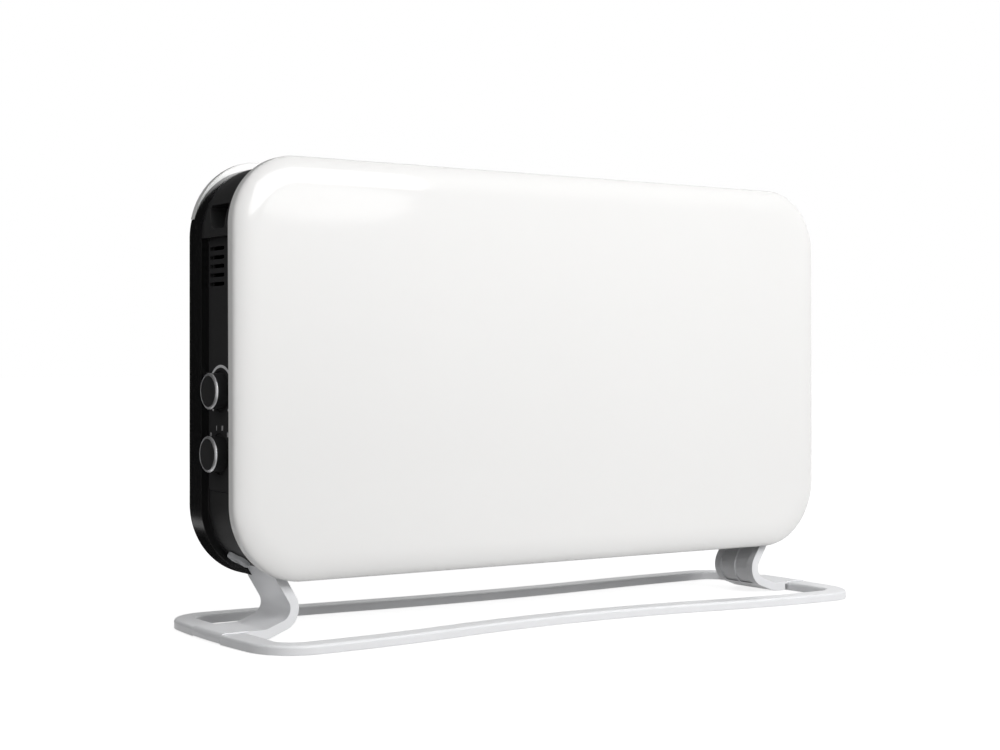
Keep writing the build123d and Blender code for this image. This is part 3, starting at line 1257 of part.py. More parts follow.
for name, shape in nodes.items():
    export_step(shape, "parts/" + name + ".step")
    print(name, round(shape.volume), len(shape.solids()))
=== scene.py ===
import json
import math

import bmesh
import bpy
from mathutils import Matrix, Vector


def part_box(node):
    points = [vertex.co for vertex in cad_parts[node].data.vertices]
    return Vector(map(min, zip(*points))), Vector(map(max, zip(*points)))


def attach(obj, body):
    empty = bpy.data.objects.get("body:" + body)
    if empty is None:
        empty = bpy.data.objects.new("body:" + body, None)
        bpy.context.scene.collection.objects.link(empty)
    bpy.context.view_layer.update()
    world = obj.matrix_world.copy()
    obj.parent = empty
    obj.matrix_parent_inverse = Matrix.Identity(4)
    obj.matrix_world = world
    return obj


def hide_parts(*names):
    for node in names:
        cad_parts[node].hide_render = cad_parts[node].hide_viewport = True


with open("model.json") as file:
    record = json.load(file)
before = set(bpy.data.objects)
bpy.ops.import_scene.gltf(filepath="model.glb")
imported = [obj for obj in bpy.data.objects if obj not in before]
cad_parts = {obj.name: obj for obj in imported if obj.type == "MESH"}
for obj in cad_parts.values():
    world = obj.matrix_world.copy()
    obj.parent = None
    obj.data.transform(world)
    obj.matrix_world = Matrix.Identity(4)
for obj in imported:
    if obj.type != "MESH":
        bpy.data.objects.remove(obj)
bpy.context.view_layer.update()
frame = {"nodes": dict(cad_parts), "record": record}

MM = 0.001


# ---------------------------------------------------------------- materials
BEVEL_SAMPLES = 4
WEAR_STARTS, WEAR_FULL = 0.98, 0.8       # cosine between a rounded and a plain normal
WEAR_WIDTH = 0.6 * MM
WEAR_PATCHES = 60.0
RELIEF_DEPTH = 0.2 * MM
DETAIL, GLOSS_DETAIL, RELIEF_DETAIL = 3.0, 2.0, 1.0
RAMP_START, RAMP_END = 0.3, 0.7          # the part of the noise that a ramp spreads out
EVEN = (1.0, 1.0, 1.0)


def new_material(name):
    """A new node material, its tree and its Principled shader."""
    material = bpy.data.materials.new(name)
    material.use_nodes = True
    tree = material.node_tree
    return material, tree, tree.nodes["Principled BSDF"]


def noise(tree, scale, detail=DETAIL, stretch=EVEN):
    """A noise texture in the piece's own metres, drawn out along an axis if asked."""
    place = tree.nodes.new("ShaderNodeTexCoord")
    scaled = tree.nodes.new("ShaderNodeMapping")
    scaled.inputs["Scale"].default_value = stretch
    texture = tree.nodes.new("ShaderNodeTexNoise")
    texture.inputs["Scale"].default_value = scale
    texture.inputs["Detail"].default_value = detail
    tree.links.new(place.outputs["Object"], scaled.inputs["Vector"])
    tree.links.new(scaled.outputs["Vector"], texture.inputs["Vector"])
    return texture.outputs["Fac"]


def ramp(tree, value, low, high):
    """Maps a value between two colours or grey levels."""
    node = tree.nodes.new("ShaderNodeValToRGB")
    first, last = node.color_ramp.elements
    first.position, last.position = RAMP_START, RAMP_END
    first.color, last.color = low, high
    tree.links.new(value, node.inputs["Fac"])
    return node.outputs["Color"]


def rounded_normal(tree, radius):
    """The normal that a solid would have with its edges rounded."""
    node = tree.nodes.new("ShaderNodeBevel")
    node.samples = BEVEL_SAMPLES
    node.inputs["Radius"].default_value = radius
    return node.outputs["Normal"]


def edge_wear(tree):
    """Near 1 along a solid's edges, where handling rubs it, and 0 on its faces."""
    rounded = rounded_normal(tree, WEAR_WIDTH)
    plain = tree.nodes.new("ShaderNodeNewGeometry")
    match = tree.nodes.new("ShaderNodeVectorMath")
    match.operation = "DOT_PRODUCT"
    tree.links.new(rounded, match.inputs[0])
    tree.links.new(plain.outputs["Normal"], match.inputs[1])
    worn = tree.nodes.new("ShaderNodeMapRange")
    worn.inputs["From Min"].default_value = WEAR_STARTS
    worn.inputs["From Max"].default_value = WEAR_FULL
    tree.links.new(match.outputs["Value"], worn.inputs["Value"])
    patchy = tree.nodes.new("ShaderNodeMath")
    patchy.operation = "MULTIPLY"
    tree.links.new(worn.outputs["Result"], patchy.inputs[0])
    tree.links.new(noise(tree, WEAR_PATCHES), patchy.inputs[1])
    return patchy.outputs["Value"]


def blended(tree, factor, first, second):
    """A colour between two, by a factor; either may be a socket or a plain colour."""
    node = tree.nodes.new("ShaderNodeMix")
    node.data_type = "RGBA"
    tree.links.new(factor, node.inputs["Factor"])
    for name, value in (("A", first), ("B", second)):
        socket = next(item for item in node.inputs if item.name == name and item.type == "RGBA")
        if isinstance(value, bpy.types.NodeSocket):
            tree.links.new(value, socket)
        else:
            socket.default_value = value
    return next(item for item in node.outputs if item.type == "RGBA")


def grey(level):
    """A grey, as a colour with its alpha."""
    return (level, level, level, 1.0)


def tinted(colour, factor):
    """A colour made darker or lighter, with its alpha."""
    return tuple(min(1.0, channel * factor) for channel in colour) + (1.0,)


def surface(name, colour, roughness, *, spread, grain, rough_spread=0.03, relief=0.02,
            metallic=0.0, specular=0.5, coat=0.0, coat_roughness=0.05, patch=9.0,
            stretch=EVEN, wear=0.0, edge=0.5 * MM):
    """A painted, moulded or metal finish: patches of tone, grain in its gloss, a fine relief,
    and edges that are rounded and rubbed."""
    material, tree, shader = new_material(name)
    shader.inputs["Metallic"].default_value = metallic
    shader.inputs["Specular IOR Level"].default_value = specular
    shader.inputs["Coat Weight"].default_value = coat
    shader.inputs["Coat Roughness"].default_value = coat_roughness
    tone = ramp(tree, noise(tree, patch), tinted(colour, 1 - spread), tinted(colour, 1.0))
    if wear:
        tone = blended(tree, edge_wear(tree), tone, tinted(colour, 1.0 + wear))
    tree.links.new(tone, shader.inputs["Base Color"])
    fine = noise(tree, grain, GLOSS_DETAIL, stretch)
    gloss = ramp(tree, fine, grey(roughness - rough_spread), grey(roughness + rough_spread))
    tree.links.new(gloss, shader.inputs["Roughness"])
    bump = tree.nodes.new("ShaderNodeBump")
    bump.inputs["Strength"].default_value = relief
    bump.inputs["Distance"].default_value = RELIEF_DEPTH
    tree.links.new(noise(tree, grain, RELIEF_DETAIL, stretch), bump.inputs["Height"])
    tree.links.new(rounded_normal(tree, edge), bump.inputs["Normal"])
    tree.links.new(bump.outputs["Normal"], shader.inputs["Normal"])
    return material


SATIN_STARTS, SATIN_FULL = 24.0 * MM, 16.0 * MM   # along Y; the glossy rims lie behind these, in a darker black that is painted shade
SATIN_BLACK = (0.032, 0.032, 0.0326, 1.0)
SATIN_ROUGHNESS = 0.5


def satin_front_and_shaded_rim(material):
    """Makes a glossy finish turn satin and lighter toward the front, as on the caps' side faces;
    the darker black kept on the glossy rims behind is painted shade.
    """
    tree = material.node_tree
    shader = tree.nodes["Principled BSDF"]
    place = tree.nodes.new("ShaderNodeTexCoord")
    parts = tree.nodes.new("ShaderNodeSeparateXYZ")
    tree.links.new(place.outputs["Object"], parts.inputs["Vector"])
    ahead = tree.nodes.new("ShaderNodeMapRange")
    ahead.interpolation_type = "SMOOTHSTEP"
    ahead.inputs["From Min"].default_value = SATIN_STARTS
    ahead.inputs["From Max"].default_value = SATIN_FULL
    tree.links.new(parts.outputs["Y"], ahead.inputs["Value"])
    for name, value in (("Base Color", SATIN_BLACK), ("Roughness", grey(SATIN_ROUGHNESS))):
        glossy = shader.inputs[name].links[0].from_socket
        mixed = blended(tree, ahead.outputs["Result"], glossy, value)
        tree.links.new(mixed, shader.inputs[name])


PANEL_WHITE = (0.865, 0.86, 0.85)
COVER_WHITE = (0.84, 0.84, 0.83)
STAND_GREY = (0.86, 0.865, 0.88)
LATCH_GREY = (0.50, 0.51, 0.52)
# the caps' black, kept on their glossy rear rims, is darkened there as painted shade
CAP_BLACK_SHADED_RIM = (0.011, 0.011, 0.0113)
PLATE_BLACK = (0.04, 0.04, 0.0408)
KNOB_BLACK = (0.032, 0.032, 0.0326)
BRUSHED = (1.0, 12.0, 12.0)              # grain drawn out along X

MATERIALS = {
    "panel_white": surface("enamel_white", PANEL_WHITE, 0.42, spread=0.006, rough_spread=0.02,
                           grain=420.0, relief=0.004, specular=0.35, coat=0.4,
                           coat_roughness=0.055, patch=5.0),
    "cover_white": surface("cover_enamel", COVER_WHITE, 0.34, spread=0.01, rough_spread=0.02,
                           grain=420.0, relief=0.008, coat=0.4, coat_roughness=0.12),
    "cap_black": surface("cap_satin_black", CAP_BLACK_SHADED_RIM, 0.2, spread=0.15, grain=1400.0,
                         relief=0.01, specular=0.3, wear=0.8, edge=0.7 * MM),
    "plate_black": surface("plate_black", PLATE_BLACK, 0.34, spread=0.1, grain=1600.0,
                           relief=0.03, specular=0.12, wear=0.4, edge=0.6 * MM),
    "knob_black": surface("knob_black", KNOB_BLACK, 0.42, spread=0.1, grain=1900.0,
                          relief=0.04, specular=0.12, wear=0.5, edge=0.4 * MM),
    "bezel_bright": surface("bezel_satin", (0.70, 0.70, 0.71), 0.40, spread=0.08, metallic=0.8,
                            grain=2200.0, relief=0.03, edge=0.2 * MM),
    "grille_black": surface("grille_black", (0.014, 0.014, 0.014), 0.5, spread=0.15,
                            grain=1800.0, relief=0.06, specular=0.3, wear=0.8),
    "stand_grey": surface("stand_paint", STAND_GREY, 0.4, spread=0.03, rough_spread=0.05,
                          grain=1700.0, relief=0.05, specular=0.5, wear=0.1, edge=0.8 * MM),
    "latch_grey": surface("latch_grey", LATCH_GREY, 0.42, spread=0.04, grain=1500.0,
                          relief=0.05, wear=0.25),
    "socket_black": surface("socket_black", (0.02, 0.02, 0.02), 0.55, spread=0.1,
                            grain=1700.0, relief=0.08, specular=0.3, wear=0.8),
    "sheet_steel": surface("zinc_sheet", (0.50, 0.51, 0.52), 0.36, spread=0.3, rough_spread=0.08,
                           grain=260.0, metallic=1.0, patch=120.0),
    "element_aluminium": surface("aluminium", (0.58, 0.58, 0.59), 0.42, spread=0.12,
                                 metallic=1.0, grain=700.0, stretch=BRUSHED, relief=0.05),
    "bush_ceramic": surface("ceramic", (0.72, 0.68, 0.60), 0.6, spread=0.08, grain=1200.0,
                            relief=0.1),
    "gear_cream": surface("gear_body", (0.52, 0.48, 0.38), 0.5, spread=0.06, grain=1400.0,
                          relief=0.06, wear=0.2),
    "pad_rubber": surface("pad_rubber", (0.022, 0.022, 0.022), 0.8, spread=0.2, grain=1600.0,
                          relief=0.15, specular=0.3),
    "screw_steel": surface("screw_zinc", (0.50, 0.50, 0.50), 0.34, spread=0.12, metallic=1.0,
                           grain=1300.0, relief=0.04, edge=0.3 * MM),
}
PRINT = surface("silver_print", (0.80, 0.80, 0.81), 0.4, spread=0.08, grain=2200.0, relief=0.02)
# satin, lighter front on the caps and darker glossy rims behind; the rims' darker black is
# painted shade
satin_front_and_shaded_rim(MATERIALS["cap_black"])
SLOT = {part["node"]: part["material_slot"] for part in frame["record"]["subparts"]}
for node, piece in frame["nodes"].items():
    piece.data.materials.clear()
    piece.data.materials.append(MATERIALS[SLOT[node]])


# ---------------------------------------------------------------- making pieces
def add_mesh(name, mesh, body, slot, replaced=(), finish=None):
    """A piece that rides on a CAD body and takes its finish from a slot of the record."""
    mesh.materials.append(finish or MATERIALS[slot])
    piece = bpy.data.objects.new(name, mesh)
    bpy.context.scene.collection.objects.link(piece)
    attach(piece, body)
    if replaced:
        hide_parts(*replaced)


def to_mesh(bm, name, bend=None):
    """The mesh of a bmesh, smooth but for edges sharper than a bend in degrees, if one is
    given."""
    if bend is not None:
        bmesh.ops.recalc_face_normals(bm, faces=bm.faces)
    mesh = bpy.data.meshes.new(name)
    bm.to_mesh(mesh)
    bm.free()
    if bend is not None:
        mesh.shade_smooth()
        mesh.set_sharp_from_angle(angle=math.radians(bend))
    return mesh


def join_rows(bm, rows, closed):
    """Faces between each row of points and the next; closed rows also get both ends."""
    for first, second in zip(rows, rows[1:]):
        count = len(first)
        for index in range(count if closed else count - 1):
            after = (index + 1) % count
            bm.faces.new((first[index], first[after], second[after], second[index]))
    if closed:
        bm.faces.new(rows[0])
        bm.faces.new(list(reversed(rows[-1])))


# ---------------------------------------------------------------- front panel
TOP_CORNER = 67.5 * MM                   # the photograph's upper corners are a little tighter
LOW_CORNER = 74.0 * MM
CORNER_STEPS = 28
PANEL_SIDE = 7.0 * MM                    # the panel's straight side, from its rim
RIM_EDGE = 0.5 * MM
ROLL_REACH = 27.0 * MM                   # the roll from the side to the face
ROLL_STEPS = 24
FLAT_ROWS = (6 * MM, 12 * MM)            # rows on the face beyond the roll, to keep it flat
SHEET = 1.2 * MM
LEAN = 0.008                             # radians that the panel's rim leans back, going up
PANEL_BEND = 40.0


def panel_ring(bm, inset, y):
    """One closed row of points round the panel, set in from its outline."""
    low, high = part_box("front_panel")
    half, bottom, top = high[0] - inset, low[2] + inset, high[2] - inset
    middle = (low[2] + high[2]) / 2
    lean = LEAN * (y - low[1]) / (high[1] - low[1])
    row = []
    corners = (
        (1, 1, TOP_CORNER, 0.0), (-1, 1, TOP_CORNER, 90.0),
        (-1, -1, LOW_CORNER, 180.0), (1, -1, LOW_CORNER, 270.0),
    )
    for side, up, corner, start in corners:
        radius = corner - inset
        x = side * (half - radius)
        z = top - radius if up > 0 else bottom + radius
        for step in range(CORNER_STEPS + 1):
            angle = math.radians(start + 90.0 * step / CORNER_STEPS)
            height = z + radius * math.sin(angle)
            row.append(bm.verts.new((
                x + radius * math.cos(angle),
                y + lean * (height - middle),
                height,
            )))
    return row


def dressed_panel():
    """The enamelled front: a straight side, a long soft roll and a flat face, of thin sheet."""
    low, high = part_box("front_panel")
    face, rim = low[1], high[1]
    roll = rim - PANEL_SIDE - face
    outside = [(RIM_EDGE, rim), (0.0, rim - RIM_EDGE), (0.0, rim - PANEL_SIDE)]
    inside = [(SHEET, rim), (SHEET, rim - PANEL_SIDE)]
    for step in range(1, ROLL_STEPS + 1):
        turn = math.radians(90.0 * step / ROLL_STEPS)
        across = 1 - math.cos(turn)
        outside.append((ROLL_REACH * across, rim - PANEL_SIDE - roll * math.sin(turn)))
        inside.append((
            SHEET + (ROLL_REACH - SHEET) * across,
            rim - PANEL_SIDE - (roll - SHEET) * math.sin(turn),
        ))
    outside += [(ROLL_REACH + beyond, face) for beyond in FLAT_ROWS]
    inside.append((ROLL_REACH + FLAT_ROWS[-1], face + SHEET))
    bm = bmesh.new()
    rows = [panel_ring(bm, inset, y) for inset, y in reversed(inside)]
    rows += [panel_ring(bm, inset, y) for inset, y in outside]
    join_rows(bm, rows, closed=True)
    mesh = to_mesh(bm, "front_panel_dressed", PANEL_BEND)
    add_mesh("front_panel_dressed", mesh, "frame", "panel_white", ("front_panel",))


# ---------------------------------------------------------------- printing
PRINT_LIFT = 0.05 * MM                   # thickness of the printing
PRINT_MARGIN = 0.3 * MM                  # left free at the plate's front edge
MERGE = 1e-7                             # metres; nearer points become one
SCALE_RADIUS = 24.7 * MM
SCALE_WIDTH = 2.6 * MM
SCALE_GAP = 38.4                         # degrees left open, to each side of its foot
SCALE_STEPS = 90
MARK_RADIUS = 25.0 * MM
MARK_HEIGHT = 4.6 * MM
STROKE = 0.8 * MM
ZERO_HALF_WIDTH = 1.6 * MM
ZERO_STEPS = 20
MARKS = ((0, 46.0), (1, 15.0), (2, -12.0), (3, -42.0))   # strokes, and degrees towards the back


def prism(bm, outline):
    """A thin raised shape on the control plate, from its outline in Y and Z."""
    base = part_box("control_plate")[0][0]
    low = [bm.verts.new((base, y, z)) for y, z in outline]
    high = [bm.verts.new((base - PRINT_LIFT, y, z)) for y, z in outline]
    bm.faces.new(high)
    for index in range(len(outline)):
        after = (index + 1) % len(outline)
        bm.faces.new((low[index], low[after], high[after], high[index]))


def knob_axis(dial):
    """Y and Z of a knob's axis."""
    low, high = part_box(dial + "_knob")
    return (low[1] + high[1]) / 2, (low[2] + high[2]) / 2


def thermostat_scale():
    """The printed arc round the thermostat, which ends at the plate's front edge."""
    centre_y, centre_z = knob_axis("thermostat")
    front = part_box("control_plate")[0][1] + PRINT_MARGIN
    sweep = 360.0 - 2 * SCALE_GAP

    def on_arc(radius, step):
        angle = math.radians(SCALE_GAP + sweep * step / SCALE_STEPS)
        y = centre_y + radius * math.sin(angle)
        return max(y, front), centre_z - radius * math.cos(angle)

    bm = bmesh.new()
    for step in range(SCALE_STEPS):
        inner = [on_arc(SCALE_RADIUS - SCALE_WIDTH, at) for at in (step, step + 1)]
        outer = [on_arc(SCALE_RADIUS, at) for at in (step + 1, step)]
        if max(y for y, z in outer) > front:
            prism(bm, inner + outer)
    bmesh.ops.remove_doubles(bm, verts=bm.verts, dist=MERGE)
    mesh = to_mesh(bm, "thermostat_scale")
    add_mesh("thermostat_scale", mesh, "frame", "bezel_bright", finish=PRINT)


def stroke_mark(bm, y, z):
    """One upright stroke of a figure."""
    half_width, half_height = STROKE / 2, MARK_HEIGHT / 2
    prism(bm, [
        (y - half_width, z - half_height),
        (y + half_width, z - half_height),
        (y + half_width, z + half_height),
        (y - half_width, z + half_height),
    ])


def zero_mark(bm, y, z):
    """The figure 0, an oval ring."""
    for step in range(ZERO_STEPS):
        outline = []
        for at, inset in ((step, 0), (step + 1, 0), (step + 1, STROKE), (step, STROKE)):
            turn = 2 * math.pi * at / ZERO_STEPS
            outline.append((
                y + (ZERO_HALF_WIDTH - inset) * math.cos(turn),
                z + (MARK_HEIGHT / 2 - inset) * math.sin(turn),
            ))
        prism(bm, outline)


def power_marks():
    """The plain figures 0, I, II and III printed round the power knob."""
    centre_y, centre_z = knob_axis("power")
    bm = bmesh.new()
    for strokes, degrees in MARKS:
        angle = math.radians(degrees)
        y = centre_y + MARK_RADIUS * math.sin(angle)
        z = centre_z + MARK_RADIUS * math.cos(angle)
        if strokes == 0:
            zero_mark(bm, y, z)
        for stroke in range(strokes):
            stroke_mark(bm, y + (stroke - (strokes - 1) / 2) * 2 * STROKE, z)
    mesh = to_mesh(bm, "power_marks")
    add_mesh("power_marks", mesh, "frame", "bezel_bright", finish=PRINT)


# ---------------------------------------------------------------- dials
LATHE_STEPS = 96
LATHE_BEND = 32.0
FACE_RADIUS = 14.7 * MM                  # the dark face inside the bright ring
FACE_DROP = 0.35 * MM                    # it lies a little below the ring's edge
FACE_CROWN = 0.25 * MM
FACE_ROW = 1.2 * MM                      # a row of points part way down the face's side
CROWN_STEPS = 8
SHOULDER_ROUND = 0.3 * MM
KNOB_FOOT_ROUND = 0.4 * MM
KNOB_HOLE = 4.0 * MM
RING_EDGE = 0.7 * MM                     # flat edge of the ring, before its cone
RING_CONE = 1.5 * MM
RING_DEPTH = 2.2 * MM
RING_SLEEVE = 1.5 * MM
RING_ROUND = 0.15 * MM
RING_BLEND = 0.1 * MM
RING_GAP = 0.02 * MM                     # between the ring and the knob's shoulder


def lathe(name, profile, centre, body, slot, replaced):
    """A turned piece on an axis along X, from its profile of places on the axis and radii."""
    centre_y, centre_z = centre
    bm = bmesh.new()
    rings = []
    for x, radius in profile:
        if radius == 0.0:
            rings.append([bm.verts.new((x, centre_y, centre_z))])
            continue
        rings.append([
            bm.verts.new((
                x,
                centre_y + radius * math.cos(2 * math.pi * step / LATHE_STEPS),
                centre_z + radius * math.sin(2 * math.pi * step / LATHE_STEPS),
            ))
            for step in range(LATHE_STEPS)
        ])
    for first, second in zip(rings, rings[1:]):
        for step in range(LATHE_STEPS):
            after = (step + 1) % LATHE_STEPS
            loop = [first[step % len(first)], first[after % len(first)],
                    second[after % len(second)], second[step % len(second)]]
            bm.faces.new(list(dict.fromkeys(loop)))
    add_mesh(name, to_mesh(bm, name, LATHE_BEND), body, slot, replaced)


def dress_dial(dial, body):
    """A knob with a softly crowned face, and the satin ring round it."""
    low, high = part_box(dial + "_knob")
    ring_low, ring_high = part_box(dial + "_bezel")
    centre = knob_axis(dial)
    outer = (ring_high[2] - ring_low[2]) / 2
    side = (high[2] - low[2]) / 2
    end, foot = low[0], high[0]
    shoulder = end + RING_DEPTH
    knob = [
        (end + FACE_DROP - FACE_CROWN * (1 - (share / CROWN_STEPS) ** 2),
         FACE_RADIUS * share / CROWN_STEPS)
        for share in range(CROWN_STEPS + 1)
    ] + [
        (end + FACE_ROW, FACE_RADIUS),
        (shoulder, FACE_RADIUS),
        (shoulder, side - SHOULDER_ROUND),
        (shoulder + SHOULDER_ROUND, side),
        (foot - KNOB_FOOT_ROUND, side),
        (foot, side - KNOB_FOOT_ROUND),
        (foot, KNOB_HOLE),
    ]
    lathe(dial + "_knob_turned", knob, centre, body, "knob_black", (dial + "_knob",))
    ring = [
        (end + RING_SLEEVE, FACE_RADIUS),
        (end + RING_ROUND, FACE_RADIUS),
        (end, FACE_RADIUS + RING_ROUND),
        (end, FACE_RADIUS + RING_EDGE - RING_ROUND),
        (end + RING_BLEND, FACE_RADIUS + RING_EDGE + RING_BLEND / 2),
        (end + RING_CONE - RING_BLEND, outer - RING_BLEND),
        (end + RING_CONE + RING_ROUND, outer),
        (shoulder - RING_GAP, outer),
        (shoulder - RING_GAP, FACE_RADIUS),
    ]
    lathe(dial + "_bezel_turned", ring, centre, body, "bezel_bright", (dial + "_bezel",))


# ---------------------------------------------------------------- folded and rolled edges
LIP_DEPTH = 7.6 * MM                     # how far the cover's front edge is folded in
LIP_ROLL = 1.2 * MM
LIP_ROLL_STEPS = 6
LIP_PROUD = 0.05 * MM
LIP_STEPS = 24
LIP_BEND = 40.0
COVER_CORNER = 74.0 * MM
COVER_FOOT = 399.0 * MM                  # height at which the tray's band ends
TRIM_WIDTH = 1.5 * MM                    # the rolled front edge of each foot
TRIM_THICK = 1.8 * MM
TRIM_PROUD = 0.25 * MM
TRIM_LENGTH = 31.0 * MM                  # along the top of the foot
TRIM_RISE = 1.7 * MM                     # over the ring's top, and over the floor at its end
TRIM_TURN = 6.0 * MM                     # radius of its turn down the outside
TRIM_TURN_STEPS = 8
TRIM_SIDES = 12
TRIM_BEND = 50.0


def cover_lip():
    """The folded front edge of the rear cover's tray, round both upper corners."""
    low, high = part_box("rear_cover")
    centre_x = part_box("front_panel")[1][0] - COVER_CORNER
    centre_z = high[2] - COVER_CORNER
    front = low[1] - LIP_PROUD
    start = math.asin((COVER_FOOT - centre_z) / COVER_CORNER)
    profile = []
    for step in range(LIP_ROLL_STEPS + 1):
        turn = math.radians(90.0 * step / LIP_ROLL_STEPS)
        profile.append((LIP_ROLL * (1 - math.cos(turn)), LIP_ROLL * (1 - math.sin(turn))))
    profile.append((LIP_DEPTH, 0.0))
    bm = bmesh.new()
    rows = []
    for side in (-1, 1):
        for step in range(LIP_STEPS + 1):
            share = step / LIP_STEPS if side < 0 else 1 - step / LIP_STEPS
            angle = start + (math.pi / 2 - start) * share
            rows.append([
                bm.verts.new((
                    side * (centre_x + (COVER_CORNER - inset) * math.cos(angle)),
                    front + depth,
                    centre_z + (COVER_CORNER - inset) * math.sin(angle),
                ))
                for inset, depth in profile
            ])
    join_rows(bm, rows, closed=False)
    add_mesh("cover_lip", to_mesh(bm, "cover_lip", LIP_BEND), "frame", "cover_white")


def foot_trim(side, leg_node):
    """The rolled edge along the front of a foot's hook, over the ring and down its outside."""
    low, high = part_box(leg_node)
    outer = max(-low[0], high[0])
    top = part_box("base_ring")[1][2] + TRIM_RISE
    path = [(outer - TRIM_LENGTH, top)]
    for step in range(TRIM_TURN_STEPS + 1):
        angle = math.radians(90.0 - 90.0 * step / TRIM_TURN_STEPS)
        path.append((
            outer - TRIM_TURN + TRIM_TURN * math.cos(angle),
            top - TRIM_TURN + TRIM_TURN * math.sin(angle),
        ))
    path.append((outer, TRIM_RISE))
    bm = bmesh.new()
    rows = []
    for index, (x, z) in enumerate(path):
        before, after = path[max(index - 1, 0)], path[min(index + 1, len(path) - 1)]
        along = Vector((after[0] - before[0], after[1] - before[1])).normalized()
        inward = Vector((along.y, -along.x))
        row = []
        for corner in range(TRIM_SIDES):
            angle = 2 * math.pi * corner / TRIM_SIDES
            y = low[1] - TRIM_PROUD + TRIM_WIDTH / 2 * (1 - math.cos(angle))
            depth = TRIM_THICK / 2 * (1 - math.sin(angle))
            row.append(bm.verts.new((side * (x + inward.x * depth), y, z + inward.y * depth)))
        rows.append(row)
    join_rows(bm, rows, closed=True)
    name = leg_node + "_edge"
    add_mesh(name, to_mesh(bm, name, TRIM_BEND), "frame", "stand_grey")


dressed_panel()
thermostat_scale()
power_marks()
dress_dial("thermostat", "thermostat_dial")
dress_dial("power", "power_dial")
cover_lip()
foot_trim(-1, "leg_left")
foot_trim(1, "leg_right")


# ---------------------------------------------------------------- stage, light and camera
CAMERA_YAW = 30.336                      # degrees
CAMERA_PLACE = (-1.08199, -1.36856, 0.25883)
FOCAL_PIXELS = 1640.17
SENSOR_MM = 36.0
IMAGE_WIDTH = 1000
IMAGE_MIDDLE = (500.0, 375.0)
PRINCIPAL_POINT = (300.0, 365.12)
CLIP = (0.05, 100.0)

WHITE = (1.0, 1.0, 1.0, 1.0)
WORLD_LEVEL = 0.3                        # light on the object; seen directly, the world is 1
FLOOR_TONE = grey(0.4)
FLOOR_ROUGHNESS = 0.9
FLOOR_HALF = 30.0
NEAR_GLOW, FAR_GLOW = 0.83, 0.9          # the floor's own white, where it is seen directly
NEAR, FAR = 0.6, 3.5                     # metres from the middle, for those two
CARD_TONE = grey(0.02)
LIFT = 0.001                             # cards that lie on the floor
LEFT, RIGHT, BACK, HIGH = -2.2, 2.4, 3.6, 6.0
OPEN_X, CANOPY_Z = -0.75, 1.05           # the back is open, right of and below these
LEFT_FRONT, FLOOR_FRONT = -0.9, -0.3
FLOOR_RIGHT_NEAR, FLOOR_RIGHT_FAR = -0.45, -0.9
BEHIND_LEFT, BEHIND_RIGHT = -0.46, 0.5
BEHIND_FRONT, BEHIND_BACK = 0.125, 1.4

CARDS = {
    "card_left": [
        (LEFT, LEFT_FRONT, 0), (LEFT, BACK, 0), (LEFT, BACK, HIGH), (LEFT, LEFT_FRONT, HIGH)],
    "card_back": [
        (LEFT, BACK, 0), (OPEN_X, BACK, 0), (OPEN_X, BACK, HIGH), (LEFT, BACK, HIGH)],
    "card_high": [
        (OPEN_X, BACK, CANOPY_Z), (RIGHT, BACK, CANOPY_Z), (RIGHT, BACK, HIGH),
        (OPEN_X, BACK, HIGH)],
    "card_floor": [
        (LEFT, FLOOR_FRONT, LIFT), (FLOOR_RIGHT_NEAR, FLOOR_FRONT, LIFT),
        (FLOOR_RIGHT_FAR, BACK, LIFT), (LEFT, BACK, LIFT)],
    "card_behind": [
        (BEHIND_LEFT, BEHIND_FRONT, LIFT), (BEHIND_RIGHT, BEHIND_FRONT, LIFT),
        (BEHIND_RIGHT, BEHIND_BACK, LIFT), (BEHIND_LEFT, BEHIND_BACK, LIFT)],
}
LIGHTS = {                               # place, aim, size, watts
    "key": ((0.4, -1.95, 1.2), (0.0, 0.0, 0.3), (1.5, 1.0), 38.6),
    "fill": ((-1.9, -0.3, 1.2), (-0.38, 0.0, 0.25), (0.8, 0.8), 3.7),
    "behind": ((0.9, 2.3, 1.4), (0.0, 0.05, 0.25), (1.6, 1.2), 18.0),
    "window": ((1.5, -3.0, 0.77), (1.5, 0.0, 0.77), (0.66, 0.15), 1.2),
}


def link(name, data):
    """A new object in the scene."""
    item = bpy.data.objects.new(name, data)
    bpy.context.scene.collection.objects.link(item)
    return item


def make_camera():
    """The camera that was solved from the photograph."""
    data = bpy.data.cameras.new("camera")
    data.sensor_width = SENSOR_MM
    data.lens = data.sensor_width * FOCAL_PIXELS / IMAGE_WIDTH
    data.shift_x = (IMAGE_MIDDLE[0] - PRINCIPAL_POINT[0]) / IMAGE_WIDTH
    data.shift_y = (PRINCIPAL_POINT[1] - IMAGE_MIDDLE[1]) / IMAGE_WIDTH
    data.clip_start, data.clip_end = CLIP
    camera = link("camera", data)
    camera.location = CAMERA_PLACE
    camera.rotation_euler = (math.radians(90.0), 0.0, math.radians(-CAMERA_YAW))
    bpy.context.scene.camera = camera


def seen_directly(tree):
    """1 for camera, glossy and transmission rays, 0 for the rays that light the object."""
    path = tree.nodes.new("ShaderNodeLightPath")
    seen = path.outputs["Is Camera Ray"]
    for ray in ("Is Glossy Ray", "Is Transmission Ray"):
        either = tree.nodes.new("ShaderNodeMath")
        either.operation = "MAXIMUM"
        tree.links.new(seen, either.inputs[0])
        tree.links.new(path.outputs[ray], either.inputs[1])
        seen = either.outputs["Value"]
    return seen


def make_world():
    """A world that is white where it is seen, and lights the object at a lower level."""
    world = bpy.data.worlds.new("studio")
    bpy.context.scene.world = world
    world.use_nodes = True
    tree = world.node_tree
    background = tree.nodes["Background"]
    background.inputs["Color"].default_value = WHITE
    level = tree.nodes.new("ShaderNodeMapRange")
    level.inputs["To Min"].default_value = WORLD_LEVEL
    level.inputs["To Max"].default_value = 1.0
    tree.links.new(seen_directly(tree), level.inputs["Value"])
    tree.links.new(level.outputs["Result"], background.inputs["Strength"])


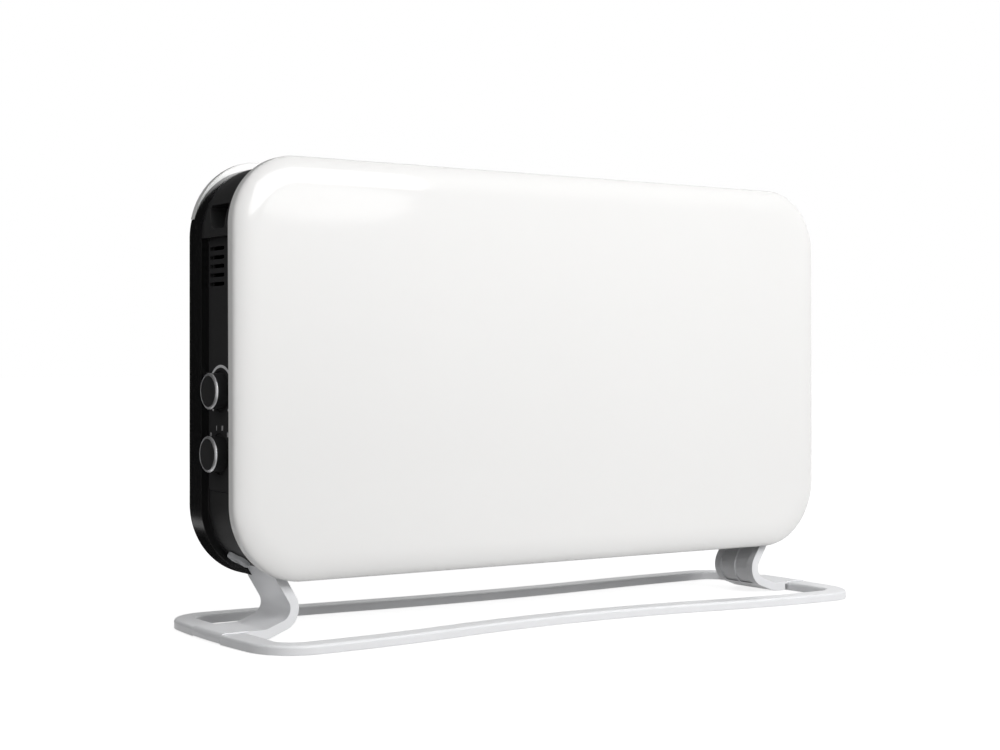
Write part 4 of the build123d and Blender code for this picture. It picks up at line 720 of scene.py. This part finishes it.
def staged_sheet(name, material, corners):
    """A flat sheet of four corners that is not part of the object."""
    mesh = bpy.data.meshes.new(name)
    mesh.from_pydata(corners, [], [(0, 1, 2, 3)])
    mesh.materials.append(material)
    sheet = link(name, mesh)
    return sheet


def make_floor():
    """A wide pale floor that keeps the shadow but reads white, also far away."""
    material, tree, shader = new_material("floor")
    shader.inputs["Base Color"].default_value = FLOOR_TONE
    shader.inputs["Roughness"].default_value = FLOOR_ROUGHNESS
    shader.inputs["Specular IOR Level"].default_value = 0.0
    shader.inputs["Emission Color"].default_value = WHITE
    place = tree.nodes.new("ShaderNodeTexCoord")
    distance = tree.nodes.new("ShaderNodeVectorMath")
    distance.operation = "LENGTH"
    tree.links.new(place.outputs["Object"], distance.inputs[0])
    glow = tree.nodes.new("ShaderNodeMapRange")
    glow.interpolation_type = "SMOOTHSTEP"
    for socket, value in (("From Min", NEAR), ("From Max", FAR),
                          ("To Min", NEAR_GLOW), ("To Max", FAR_GLOW)):
        glow.inputs[socket].default_value = value
    tree.links.new(distance.outputs["Value"], glow.inputs["Value"])
    lift = tree.nodes.new("ShaderNodeMath")
    lift.operation = "MULTIPLY"
    tree.links.new(glow.outputs["Result"], lift.inputs[1])
    tree.links.new(seen_directly(tree), lift.inputs[0])
    tree.links.new(lift.outputs["Value"], shader.inputs["Emission Strength"])
    staged_sheet("floor", material, [
        (x * FLOOR_HALF, y * FLOOR_HALF, 0) for x, y in ((-1, -1), (1, -1), (1, 1), (-1, 1))])


def make_card(name, corners):
    """A dark card that only reflections see, as a photographer keeps glare off black parts."""
    material, _, shader = new_material(name)
    shader.inputs["Base Color"].default_value = CARD_TONE
    shader.inputs["Specular IOR Level"].default_value = 0.0
    card = staged_sheet(name, material, corners)
    card.visible_camera = False
    card.visible_diffuse = False
    card.visible_shadow = False


def area_light(name, place, aim, size, watts):
    """A soft lamp that no camera sees."""
    data = bpy.data.lights.new(name, "AREA")
    data.shape = "RECTANGLE"
    data.size, data.size_y = size
    data.energy = watts
    lamp = link(name, data)
    lamp.location = place
    lamp.rotation_euler = (Vector(aim) - Vector(place)).to_track_quat("-Z", "Y").to_euler()
    lamp.visible_camera = False
    return lamp


make_camera()
make_world()
make_floor()
for name, corners in CARDS.items():
    make_card(name, corners)
lamps = {name: area_light(name, *settings) for name, settings in LIGHTS.items()}
lamps["fill"].visible_glossy = False
lamps["behind"].visible_glossy = False
lamps["window"].visible_diffuse = False  # only the soft window that the enamel mirrors
lamps["window"].data.shape = "ELLIPSE"

bpy.context.scene.view_settings.view_transform = "Standard"
